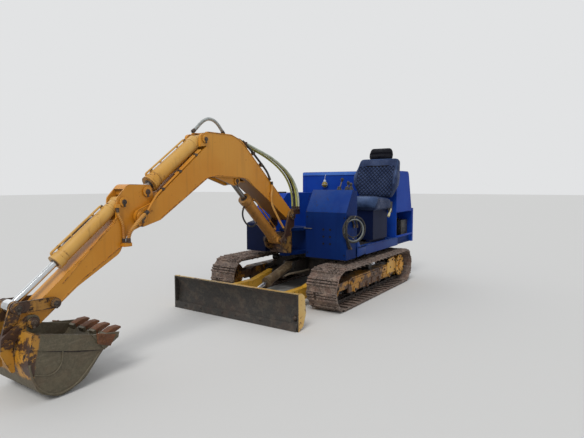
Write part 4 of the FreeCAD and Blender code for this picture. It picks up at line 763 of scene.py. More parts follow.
    strap = Rubber("white_strap", rgb(196, 204, 216), rgb(160, 168, 182), rough=0.55, dusty=0.2)
    amber = Rubber("lamp_glass", rgb(138, 116, 22), rgb(98, 82, 18), rough=0.35, dusty=0.35)
    black = Rubber("black_plastic", rgb(18, 18, 20), rgb(34, 34, 37), rough=0.45)
    hollow = Rubber("black_recess", rgb(8, 8, 10), rgb(13, 13, 15), rough=0.9, dusty=0.1)
    seat = SeatCover("seat_leathercloth", rgb(34, 48, 80), rgb(62, 78, 114), rgb(13, 17, 30))
    seat_roll = SeatCover("seat_front_roll", rgb(52, 71, 106), rgb(80, 101, 140), rgb(32, 42, 64), 0.7)
    seat_dark = SeatCover("seat_slit", rgb(13, 14, 22), rgb(22, 24, 36), rgb(8, 8, 13), 0.3, 0.15)
    blade_face = PartPaint(
        "blade_face", edge_cream, blade_steel, facing=(1.0, 0.0, 0.0), inward=1.6, offset=-0.5, soft=0.06
    )
    bucket_side = PartPaint(
        "bucket_side", linkage, bucket, place=(-1.0, 0.0, -0.16), offset=2.318, soft=0.006
    )


def start_mesh() -> bmesh.types.BMesh:
    """An empty mesh to build in."""
    return bmesh.new()


def soften(mesh: bmesh.types.BMesh, verts: Sequence[bmesh.types.BMVert], width: float, segments: int = 2) -> None:
    """Bevels every edge between the given vertices."""
    edges = list({edge for vert in verts for edge in vert.link_edges})
    bmesh.ops.bevel(
        mesh, geom=edges, offset=width, segments=segments, profile=0.5, affect="EDGES", material=-1
    )


def add_box(
    mesh: bmesh.types.BMesh, low: Vector, high: Vector, bevel: float = 0.0, turn: Matrix | None = None
) -> None:
    """Adds a box with softened edges.

    Args:
        mesh: The mesh to add to.
        low: The lowest corner.
        high: The highest corner.
        bevel: The width of its softened edges.
        turn: A transform for the finished box.
    """
    size = high - low
    grow = Matrix.Translation((low + high) / 2) @ Matrix.Diagonal((abs(size.x), abs(size.y), abs(size.z), 1.0))
    matrix = turn @ grow if turn else grow
    made = bmesh.ops.create_cube(mesh, size=1.0, matrix=matrix)
    if bevel:
        soften(mesh, made["verts"], bevel)


def aim(start: Vector, end: Vector) -> Matrix:
    """The transform that lays the Z axis from start to end, at their middle."""
    way = end - start
    return Matrix.Translation((start + end) / 2) @ way.to_track_quat("Z", "Y").to_matrix().to_4x4()


def add_rod(
    mesh: bmesh.types.BMesh, start: Vector, end: Vector, radius: float, tip: float | None = None,
    sides: int = 24, bevel: float = 0.0,
) -> None:
    """Adds a round bar or cone, its end edges softened.

    Args:
        mesh: The mesh to add to.
        start: The middle of its first end.
        end: The middle of its second end.
        radius: Its radius at the start.
        tip: Its radius at the end, where that differs.
        sides: How many sides it has.
        bevel: The width of its softened end edges.
    """
    made = bmesh.ops.create_cone(
        mesh, cap_ends=True, segments=sides, radius1=radius, radius2=radius if tip is None else tip,
        depth=(end - start).length, matrix=aim(start, end),
    )
    if bevel:
        rims = [e for v in made["verts"] for e in v.link_edges if any(len(f.verts) > 4 for f in e.link_faces)]
        bmesh.ops.bevel(
            mesh, geom=list(set(rims)), offset=bevel, segments=2, profile=0.5, affect="EDGES", material=-1
        )


def add_bolt(mesh: bmesh.types.BMesh, place: Vector, way: Vector, size: float) -> None:
    """Adds a hexagon bolt head on its washer.

    Args:
        mesh: The mesh to add to.
        place: Where its axis meets the surface.
        way: The direction that it stands out in.
        size: The radius of its head.
    """
    out = way.normalized()
    add_rod(mesh, place - out * size * 0.1, place + out * size * 0.22, size * 1.35, sides=14)
    add_rod(mesh, place + out * size * 0.2, place + out * size * 0.9, size, size * 0.94, sides=6)


def add_ring(
    mesh: bmesh.types.BMesh, centre: Vector, way: Vector, radius: float, wire: float,
    steps: int = 36, sides: int = 8,
) -> None:
    """Adds a round ring, spun from a small circle.

    Args:
        mesh: The mesh to add to.
        centre: The ring's middle.
        way: The direction of its axis.
        radius: Its radius.
        wire: The radius of its bar.
        steps: How many steps go round it.
        sides: How many sides its bar has.
    """
    axis = way.normalized()
    across = axis.orthogonal().normalized()
    matrix = Matrix.Translation(centre + across * radius) @ axis.cross(across).to_track_quat("Z", "Y").to_matrix().to_4x4()
    made = bmesh.ops.create_circle(mesh, segments=sides, radius=wire, matrix=matrix)
    edges = list({e for v in made["verts"] for e in v.link_edges})
    bmesh.ops.spin(
        mesh, geom=made["verts"] + edges, cent=centre, axis=axis, angle=2 * math.pi, steps=steps, use_merge=True
    )


def add_plate(
    mesh: bmesh.types.BMesh, corners: Sequence[Vector], thickness: Vector, bevel: float = 0.0
) -> None:
    """Adds a flat plate of any outline.

    Args:
        mesh: The mesh to add to.
        corners: Its outline, in order.
        thickness: The way and distance that it is thick.
        bevel: The width of its softened edges.
    """
    verts = [mesh.verts.new(corner) for corner in corners]
    face = mesh.faces.new(verts)
    grown = bmesh.ops.extrude_face_region(mesh, geom=[face])
    moved = [item for item in grown["geom"] if isinstance(item, bmesh.types.BMVert)]
    bmesh.ops.translate(mesh, verts=moved, vec=thickness)
    faces = list({f for v in verts + moved for f in v.link_faces})
    bmesh.ops.recalc_face_normals(mesh, faces=faces)
    if bevel:
        soften(mesh, verts + moved, bevel)


def stamp(mesh: bmesh.types.BMesh, pattern: bpy.types.Mesh, matrix: Matrix) -> None:
    """Adds a copy of a finished mesh at a place."""
    first = len(mesh.verts)
    mesh.from_mesh(pattern)
    mesh.verts.ensure_lookup_table()
    bmesh.ops.transform(mesh, matrix=matrix, verts=mesh.verts[first:])


def smooth_route(points: Sequence[Vector], name: str, closed: bool = False) -> bpy.types.Object:
    """A curve object with one smooth spline on the points.

    Args:
        points: The control points.
        name: The curve's name.
        closed: Whether the ends join.

    Returns:
        The object, linked to the scene.
    """
    curve = bpy.data.curves.new(name, "CURVE")
    curve.dimensions = "3D"
    curve.resolution_u = 8
    spline = curve.splines.new("NURBS")
    spline.points.add(len(points) - 1)
    for item, point in zip(spline.points, points):
        item.co = (*point, 1.0)
    spline.order_u = 3
    spline.use_endpoint_u = not closed
    spline.use_cyclic_u = closed
    thing = bpy.data.objects.new(name, curve)
    bpy.context.scene.collection.objects.link(thing)
    return thing


def tube_mesh(points: Sequence[Vector], radius: float, name: str, sides: int = 3, closed: bool = False) -> bpy.types.Mesh:
    """A smooth round tube along a route.

    Args:
        points: The route's control points.
        radius: The tube's radius.
        name: A name for the mesh.
        sides: The curve's bevel resolution.
        closed: Whether the ends join.

    Returns:
        The tube's mesh.
    """
    thing = smooth_route(points, name, closed)
    thing.data.bevel_depth = radius
    thing.data.bevel_resolution = sides
    thing.data.use_fill_caps = True
    mesh = bpy.data.meshes.new_from_object(thing)
    bpy.data.objects.remove(thing)
    return mesh


def route_line(points: Sequence[Vector], name: str) -> list[Vector]:
    """The points of a route's smooth line, read from its spline."""
    thing = smooth_route(points, name)
    mesh = bpy.data.meshes.new_from_object(thing)
    line = [vert.co.copy() for vert in mesh.vertices]
    bpy.data.objects.remove(thing)
    bpy.data.meshes.remove(mesh)
    return line


def add_tube(mesh: bmesh.types.BMesh, points: Sequence[Vector], radius: float, sides: int = 2) -> None:
    """Adds a smooth round tube along a route."""
    tube = tube_mesh(points, radius, "tube", sides)
    mesh.from_mesh(tube)
    bpy.data.meshes.remove(tube)


def add_bead(mesh: bmesh.types.BMesh, points: Sequence[Vector], radius: float, seed: int = 1) -> None:
    """Adds a weld bead: a thin ribbed tube along straight runs.

    Args:
        mesh: The mesh to add to.
        points: The ends of its runs.
        radius: Its radius.
        seed: Where its unevenness starts.
    """
    rolls = random.Random(seed)
    for start, end in zip(points, points[1:]):
        length = (end - start).length
        steps = max(2, int(length / (radius * 3.2)))
        for step in range(steps):
            share = (step + 0.5) / steps
            centre = start.lerp(end, share)
            half = (end - start) / steps * 0.62
            add_rod(mesh, centre - half, centre + half, radius * rolls.uniform(0.82, 1.0), radius * 0.72, sides=7)


def add_spiral(mesh: bmesh.types.BMesh, line: Sequence[Vector], radius: float, wire: float, pitch: float) -> None:
    """Adds a guard wire wound along a line.

    Args:
        mesh: The mesh to add to.
        line: The points that it winds round.
        radius: The winding's radius.
        wire: The wire's radius.
        pitch: The distance from turn to turn.
    """
    total = sum((b - a).length for a, b in zip(line, line[1:]))
    turns = total / pitch
    steps = int(turns * 9)
    helix = []
    travelled = 0.0
    spans = list(zip(line, line[1:]))
    index = 0
    side = (line[1] - line[0]).orthogonal().normalized()
    for step in range(steps + 1):
        goal = total * step / steps
        while index < len(spans) - 1 and travelled + (spans[index][1] - spans[index][0]).length < goal:
            travelled += (spans[index][1] - spans[index][0]).length
            index += 1
        start, end = spans[index]
        way = (end - start).normalized()
        side = (side - way * side.dot(way)).normalized()
        angle = 2 * math.pi * turns * step / steps
        out = side * math.cos(angle) + way.cross(side) * math.sin(angle)
        helix.append(start + way * (goal - travelled) + out * radius)
    thing = smooth_route(helix, "spiral")
    thing.data.resolution_u = 1
    thing.data.bevel_depth = wire
    thing.data.bevel_resolution = 1
    tube = bpy.data.meshes.new_from_object(thing)
    bpy.data.objects.remove(thing)
    mesh.from_mesh(tube)
    bpy.data.meshes.remove(tube)


Finish = Paint | Steel | PartPaint | Chrome | Rubber | SeatCover


@dataclass(frozen=True)
class Bend:
    """Two bodies that a piece runs between, and the places where its bend would start and end."""

    first: Body
    second: Body
    start: Place
    end: Place


def make_piece(
    name: str, mesh: bmesh.types.BMesh, finish: Finish, body: Body | Bend, crease: float = 38.0
) -> bpy.types.Object:
    """Turns a finished mesh into a piece that rides on its body, or that is left unparented when it is given a bend.

    Args:
        name: The piece's name.
        mesh: Its mesh, which is freed.
        finish: Its finish.
        body: The body that it rides on, or its bend.
        crease: The angle over which an edge stays sharp.

    Returns:
        The new object.
    """
    data = bpy.data.meshes.new(name)
    mesh.to_mesh(data)
    mesh.free()
    data.polygons.foreach_set("use_smooth", [True] * len(data.polygons))
    data.set_sharp_from_angle(angle=math.radians(crease))
    data.materials.clear()
    data.materials.append(finish.material())
    piece = bpy.data.objects.new(name, data)
    bpy.context.scene.collection.objects.link(piece)
    if isinstance(body, Bend):
        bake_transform(piece)
    else:
        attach(piece, body.value)
    LOG.info("%s: %d faces", name, len(data.polygons))
    return piece


def coat(node: str, finish: Finish) -> None:
    """Gives a CAD node its finish."""
    slots = bpy.data.objects[node].material_slots
    for slot in slots:
        slot.link = "DATA"
        slot.material = finish.material()


class Surfaces:
    """Finds where a straight line meets the solids, so that bolts and caps sit on them."""

    def __init__(self) -> None:
        """Starts with no tree built."""
        self.trees: dict[str, BVHTree] = {}

    def meet(self, node: str, start: Vector, way: Vector) -> Vector | None:
        """Where a line from a point first meets a node's solid.

        Args:
            node: The CAD node.
            start: The line's first point.
            way: Its direction.

        Returns:
            The place, or None where the line misses.
        """
        if node not in self.trees:
            mesh = bpy.data.objects[node].data
            faces = [tuple(face.vertices) for face in mesh.polygons]
            self.trees[node] = BVHTree.FromPolygons([vert.co for vert in mesh.vertices], faces)
        return self.trees[node].ray_cast(start, way.normalized())[0]

    def side(self, node: str, x: float, z: float, side: int) -> Vector | None:
        """The outermost place of a node on one side, at x and z in millimetres."""
        return self.meet(node, at(x, side * 1500.0, z), Vector((0, -side, 0)))


SURFACES = Surfaces()


@dataclass
class TrackChain:
    """One track: shoes with three worn grousers each, carried by links and pins."""

    side: int
    name: str
    shoe_count: int = 42
    shoe_width: float = 320.0
    track_y: float = 602.5
    wheelbase: float = 1590.0
    chain_radius: float = 130.0
    track_radius: float = 205.0
    link_height: float = 46.0
    link_gap: float = 30.0
    plate: float = 9.0
    grouser: float = 18.0
    shoe_gap: float = 8.0

    @property
    def pitch(self) -> float:
        """The distance from shoe to shoe."""
        return 2 * (self.wheelbase + math.pi * self.chain_radius) / self.shoe_count

    def matrix(self, distance: float, depth: float) -> Matrix:
        """The place on the loop: X along it, Y across the machine, Z outwards.

        Args:
            distance: The way along the loop from the front of its top run, going backwards.
            depth: The height over the chain's line.

        Returns:
            The transform, in metres.
        """
        bend = math.pi * self.chain_radius
        half = self.wheelbase / 2
        radius = self.chain_radius + depth
        distance %= 2 * (self.wheelbase + bend)
        if distance < self.wheelbase:
            centre_x, angle = half - distance, math.pi / 2
        elif distance < self.wheelbase + bend:
            centre_x, angle = -half, math.pi / 2 + (distance - self.wheelbase) / self.chain_radius
        elif distance < 2 * self.wheelbase + bend:
            centre_x, angle = distance - self.wheelbase - bend - half, -math.pi / 2
        else:
            centre_x = half
            angle = -math.pi / 2 + (distance - 2 * self.wheelbase - bend) / self.chain_radius
        out = Vector((math.cos(angle), 0.0, math.sin(angle)))
        along = Vector((-math.sin(angle), 0.0, math.cos(angle)))
        across = out.cross(along)
        place = at(centre_x + radius * out.x, self.side * self.track_y, self.track_radius + radius * out.z)
        turned = Matrix((along, across, out)).transposed().to_4x4()
        return Matrix.Translation(place) @ turned

    def slab(
        self, low: Vector, high: Vector, cuts: tuple[int, int], taper: float, worn: Callable[[Vector], float]
    ) -> bpy.types.Mesh:
        """A bar or pad across the shoe with a worn top.

        Args:
            low: Its lowest corner.
            high: Its highest corner.
            cuts: How often it is divided along X and along Y.
            taper: The share of its width that is left at the top.
            worn: Gives how far a point of its top is worn down.

        Returns:
            The slab's mesh.
        """
        mesh = start_mesh()
        grow = Matrix.Translation((low + high) / 2) @ Matrix.Diagonal((*(high - low), 1.0))
        bmesh.ops.create_cube(mesh, size=1.0, matrix=grow)
        for axis, count in ((1, cuts[1]), (0, cuts[0])):
            edges = [
                e for e in mesh.edges
                if abs((e.verts[0].co - e.verts[1].co)[axis]) > 0.9 * (e.verts[0].co - e.verts[1].co).length
            ]
            bmesh.ops.subdivide_edges(mesh, edges=edges, cuts=count, use_grid_fill=True)
        middle = (low.x + high.x) / 2
        for vert in mesh.verts:
            if vert.co.z < (low.z + high.z) / 2:
                continue
            vert.co.x = middle + (vert.co.x - middle) * taper
            vert.co.z = max(low.z + 0.0008, vert.co.z - worn(vert.co))
            vert.co.x += noise.noise(vert.co * 60.0) * 0.0018
        data = bpy.data.meshes.new("slab")
        mesh.to_mesh(data)
        mesh.free()
        return data

    def shoe(self, seed: int) -> bpy.types.Mesh:
        """One shoe with its grousers, lip and bolts, each one worn in its own way.

        Args:
            seed: Where its wear starts.

        Returns:
            The shoe's mesh round its own origin.
        """
        rolls = random.Random(seed)
        mesh = start_mesh()
        half = (self.pitch - self.shoe_gap) / 2 * SCALE
        wide = self.shoe_width / 2 * SCALE
        thick = self.plate * SCALE
        tall = self.grouser * SCALE
        add_box(mesh, Vector((-half, -wide, 0.0)), Vector((half, wide, thick)), 0.0015)
        lip = [
            Vector((half - 0.004, -wide + 0.002, 0.001)), Vector((half + 0.041, -wide + 0.002, -0.0165)),
            Vector((half + 0.043, -wide + 0.002, -0.011)), Vector((half - 0.002, -wide + 0.002, 0.007)),
        ]
        add_plate(mesh, lip, Vector((0, 2 * wide - 0.004, 0)))
        cracks = sorted(rolls.uniform(-0.13, 0.13) for _ in range(3))

        def bar_wear(place: Vector) -> float:
            """The wear of a grouser at a place, deep where it is broken."""
            dent = abs(noise.noise(Vector((place.y * 30.0, place.x * 90.0, seed * 3.1))))
            broken = max(tall * math.exp(-(((place.y - line) / 0.009) ** 4)) for line in cracks)
            return dent * 0.010 + broken * 0.9

        for number in (-1, 0, 1):
            middle = number * (half * 2 / 3) - number * 0.001
            low = Vector((middle - 0.0105, -wide + 0.002, thick - 0.001))
            high = Vector((middle + 0.0105, wide - 0.002, thick + tall))
            bar = self.slab(low, high, (1, 31), 0.72, bar_wear)
            mesh.from_mesh(bar)
            bpy.data.meshes.remove(bar)
        for y in (-0.034, 0.034):
            add_bolt(mesh, Vector((0.0, y, thick + tall * 0.55)), Vector((0, 0, 1)), 0.0075)
        data = bpy.data.meshes.new("shoe")
        mesh.to_mesh(data)
        mesh.free()
        return data

    def earth(self, seed: int) -> bpy.types.Mesh:
        """The earth packed between one shoe's grousers, whose dark finish is also painted shade in the gaps between
        them.

        Args:
            seed: Where its lumps start.

        Returns:
            The earth's mesh round the shoe's origin.
        """
        half = (self.pitch - self.shoe_gap) / 2 * SCALE
        wide = self.shoe_width / 2 * SCALE

        def lumps(place: Vector) -> float:
            """How far the earth is worn down at a place."""
            dent = 0.55 + noise.noise(Vector((place.y * 24.0, place.x * 55.0, seed * 5.3)))
            return max(0.0, dent) * 0.013

        low = Vector((-half + 0.004, -wide + 0.005, self.plate * SCALE - 0.001))
        high = Vector((half - 0.004, wide - 0.005, (self.plate + self.grouser * 0.62) * SCALE))
        return self.slab(low, high, (6, 31), 0.97, lumps)

    def build(self) -> None:
        """Builds the shoes and the chain in place of the plain loop."""
        shoes = start_mesh()
        earth = start_mesh()
        patterns = [self.shoe(seed) for seed in range(7)]
        lumps = [self.earth(seed) for seed in range(7)]
        for number in range(self.shoe_count):
            spot = self.matrix((number + 0.5) * self.pitch, self.link_height)
            stamp(shoes, patterns[(number * 3) % 7], spot)
            stamp(earth, lumps[(number * 3) % 7], spot)
        piece = make_piece(f"{self.name}_shoes", shoes, Finishes.shoes, Body.UNDERCARRIAGE, 30.0)
        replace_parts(piece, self.name)
        # the earth's dark finish is also painted shade between the grousers
        make_piece(f"{self.name}_earth", earth, Finishes.caked_earth_and_shade, Body.UNDERCARRIAGE, 50.0)
        chain = start_mesh()
        reach = self.pitch / 2 * SCALE * 1.04
        for number in range(self.shoe_count):
            spot = self.matrix((number + 0.5) * self.pitch, 0.0)
            for y in (-1, 1):
                low = Vector((-reach, y * self.link_gap * SCALE - 0.008, 0.004))
                high = Vector((reach, y * self.link_gap * SCALE + 0.008, self.link_height * SCALE))
                add_box(chain, low, high, 0.004, spot)
            pin = self.matrix(number * self.pitch, self.link_height * 0.45)
            add_rod(chain, pin @ Vector((0, -0.045, 0)), pin @ Vector((0, 0.045, 0)), 0.012, sides=12)
        make_piece(f"{self.name}_chain", chain, Finishes.chain, Body.UNDERCARRIAGE)
        for pattern in patterns + lumps:
            bpy.data.meshes.remove(pattern)


@dataclass
class TrackGear:
    """What is bolted to one track frame: drive cover, roller caps, yoke and guards."""

    side: int
    name: str
    idler_x: float = 795.0
    wheel_z: float = 205.0
    roller_z: float = 133.4
    roller_xs: tuple[float, ...] = (-480.0, -176.7, 126.7, 430.0)
    face_y: float = 667.5
    drive_face_y: float = 678.5
    frame_bottom: float = 118.0
    frame_top: float = 262.0

    def build(self) -> None:
        """Builds the caps, the drive's bolts and the frame's stiffeners."""
        out = Vector((0, self.side, 0))
        metal = start_mesh()
        painted = start_mesh()
        drive = at(-self.idler_x, self.side * self.drive_face_y, self.wheel_z)
        for number in range(9):
            angle = 2 * math.pi * number / 9
            spot = drive + out * 0.004 + Vector((math.cos(angle), 0, math.sin(angle))) * 0.102
            add_bolt(metal, spot, out, 0.0085)
        covers = start_mesh()
        add_rod(covers, drive - out * 0.012, drive + out * 0.004, 0.126, 0.122, sides=48, bevel=0.003)
        add_ring(covers, drive + out * 0.004, out, 0.066, 0.004)
        cap = drive + out * 0.018
        add_rod(covers, cap - out * 0.002, cap + out * 0.006, 0.046, 0.036, sides=28, bevel=0.002)
        make_piece(f"{self.name}_drive_cover", covers, Finishes.drive_yellow, Body.UNDERCARRIAGE)
        for number in range(3):
            angle = 2 * math.pi * number / 3 + 0.4
            add_bolt(metal, cap + Vector((math.cos(angle), 0, math.sin(angle))) * 0.053, out, 0.005)
        for x in self.roller_xs:
            hub = at(x, self.side * self.face_y, self.roller_z)
            add_rod(painted, hub - out * 0.006, hub + out * 0.012, 0.033, 0.03, sides=24, bevel=0.002)
            add_bolt(metal, hub + out * 0.012, out, 0.011)
        front = at(self.idler_x, self.side * (self.track_y_plate), self.wheel_z)
        add_rod(painted, front - out * 0.006, front + out * 0.014, 0.036, 0.032, sides=24, bevel=0.002)
        add_bolt(metal, front + out * 0.014, out, 0.013)
        corners = [(-560, 190), (-540, 246), (470, 246), (520, 216), (520, 190)]
        self.plate(painted, corners, 7.0)
        for x in (-500.0, -330.0, -25.0, 280.0, 470.0):
            spot = at(x, self.side * (self.face_y + 7.0), 218.0)
            add_bolt(metal, spot, out, 0.009)
        for x in (-330.0, -25.0, 280.0):
            self.plate(painted, [(x - 50, 126), (x - 38, 186), (x + 38, 186), (x + 50, 126)], 5.0)
        bracket = start_mesh()
        corners = [(-655, 150), (-655, 296), (-604, 326), (-440, 318), (-404, 262), (-404, 150)]
        self.plate(bracket, corners, 9.0)
        make_piece(f"{self.name}_bracket", bracket, Finishes.drive_yellow, Body.UNDERCARRIAGE)
        for x, z in ((-632, 176), (-632, 284), (-560, 300), (-440, 292)):
            add_bolt(metal, at(x, self.side * (self.face_y + 9.0), z), out, 0.009)
        beads = start_mesh()
        y = self.side * (self.face_y + 1.0)
        add_bead(beads, [at(-560, y, 189), at(520, y, 189)], 0.0035, 4)
        add_bead(beads, [at(-540, y, 247), at(470, y, 247)], 0.0035, 5)
        make_piece(f"{self.name}_bolts", metal, Finishes.fastener, Body.UNDERCARRIAGE)
        make_piece(f"{self.name}_covers", painted, Finishes.frame_yellow, Body.UNDERCARRIAGE)
        make_piece(f"{self.name}_welds", beads, Finishes.frame_yellow, Body.UNDERCARRIAGE)

    @property
    def track_y_plate(self) -> float:
        """The outer face of the idler's yoke."""
        return 602.5 + 42.0 + 3.0 + 14.0

    def plate(self, mesh: bmesh.types.BMesh, corners: Sequence[tuple[float, float]], thickness: float) -> None:
        """Adds a plate on the frame's outer face."""
        places = [at(x, self.side * self.face_y, z) for x, z in corners]
        add_plate(mesh, places, Vector((0, self.side * thickness * SCALE, 0)), 0.0015)


@dataclass
class PinCaps:
    """Pin ends with keeper plates, bolts and grease nipples, seated on a node's two sides."""

    name: str
    body: Body
    node: str
    finish: Finish
    slot: Slot
    places: tuple[tuple[float, float, float], ...]

    def build(self) -> None:
        """Builds a cap on each side; each place is x, z and the pin's radius."""
        bosses = start_mesh()
        metal = start_mesh()
        for x, z, radius in self.places:
            for side in (-1, 1):
                face = SURFACES.side(self.node, x, z, side)
                if face is None:
                    continue
                out = Vector((0, side, 0))
                size = radius * SCALE
                add_rod(bosses, face - out * 0.004, face + out * 0.003, size * 1.7, size * 1.62, sides=32, bevel=0.001)
                add_rod(metal, face, face + out * 0.009, size * 0.92, size * 0.86, sides=24, bevel=0.0015)
                low = face + out * 0.003 + Vector((-0.008, 0, -size * 1.55))
                add_box(metal, low, low + Vector((0.016, side * 0.004, size * 1.2)), 0.0008)
                add_bolt(metal, face + out * 0.007 + Vector((0, 0, -size * 1.25)), out, 0.0055)
                nipple = face + out * 0.009
                add_rod(metal, nipple, nipple + out * 0.007, 0.0035, 0.002, sides=8)
        make_piece(f"{self.name}_bosses", bosses, self.finish, self.body)
        make_piece(f"{self.name}_pin_ends", metal, Finishes.fastener, self.body)


@dataclass
class Ram:
    """The fittings of one cylinder: gland, weld rings, ports and clamps along its feed pipe."""

    name: str
    body: Body
    base: tuple[float, float]
    eye: tuple[float, float]
    radius: float
    length: float
    feed_y: float
    finish: Finish
    slot: Slot

    def spot(self, distance: float, up: float, y: float) -> Vector:
        """A place by distance from the base, height over the axis, and y."""
        length = math.dist(self.base, self.eye)
        way_x, way_z = (self.eye[0] - self.base[0]) / length, (self.eye[1] - self.base[1]) / length
        return at(
            self.base[0] + way_x * distance - way_z * up, y, self.base[1] + way_z * distance + way_x * up
        )

    def build(self) -> None:
        """Builds the fittings."""
        painted = start_mesh()
        metal = start_mesh()
        size = self.radius * SCALE
        for start, end, grow in ((62.0, 84.0, 1.035), (self.length - 78, self.length - 70, 1.05),
                                 (self.length - 24, self.length - 16, 1.12)):
            add_rod(painted, self.spot(start, 0, 0), self.spot(end, 0, 0), size * grow, sides=40, bevel=0.0015)
        add_rod(metal, self.spot(self.length - 4, 0, 0), self.spot(self.length + 5, 0, 0), size * 0.66, size * 0.58, sides=32, bevel=0.001)
        for distance in (0.34, 0.68):
            along = self.length * distance
            clamp = self.spot(along, self.radius + 12, self.feed_y)
            way = self.spot(along + 7, self.radius + 12, self.feed_y) - clamp
            add_rod(painted, clamp - way, clamp + way, 0.010, sides=16, bevel=0.001)
        for distance in (108.0, self.length - 82):
            foot = self.spot(distance, self.radius - 8, self.feed_y)
            add_rod(painted, foot, self.spot(distance, self.radius + 8, self.feed_y), 0.016, 0.013, sides=18, bevel=0.001)
            add_rod(metal, self.spot(distance, self.radius + 8, self.feed_y), self.spot(distance, self.radius + 15, self.feed_y), 0.0115, sides=6)
        make_piece(f"{self.name}_rings", painted, self.finish, self.body)
        make_piece(f"{self.name}_fittings", metal, Finishes.fastener, self.body)


@dataclass
class HoseRun:
    """One hose between two fittings, with its crimped ends and any guard round it."""

    name: str
    points: tuple[Place, ...]
    radius: float
    finish: Finish
    slot: Slot
    body: Body | Bend
    guard: Finish | None = None
    pitch: float = 13.0

    def build(self) -> list[bpy.types.Object]:
        """Builds the hose and its ends.

        Returns:
            The new pieces.
        """
        route = [at(*point) for point in self.points]
        size = self.radius * SCALE
        hose = start_mesh()
        inner = size if self.guard is None else size * 0.8
        add_tube(hose, route, inner, 3)
        made = [make_piece(self.name, hose, self.finish, self.body, 60.0)]
        ends = start_mesh()
        for first, second in ((route[0], route[1]), (route[-1], route[-2])):
            way = (second - first).normalized()
            add_rod(ends, first, first + way * 0.008, size * 1.15, sides=6)
            add_rod(ends, first + way * 0.007, first + way * 0.030, size * 1.12, size * 1.08, sides=18, bevel=0.001)
        made.append(make_piece(f"{self.name}_ends", ends, Finishes.fastener, self.body))
        if self.guard is not None:
            coil = start_mesh()
            add_spiral(coil, route_line(route, self.name), size * 0.86, size * 0.23, self.pitch * SCALE)
            made.append(make_piece(f"{self.name}_guard", coil, self.guard, self.body, 60.0))
        return made


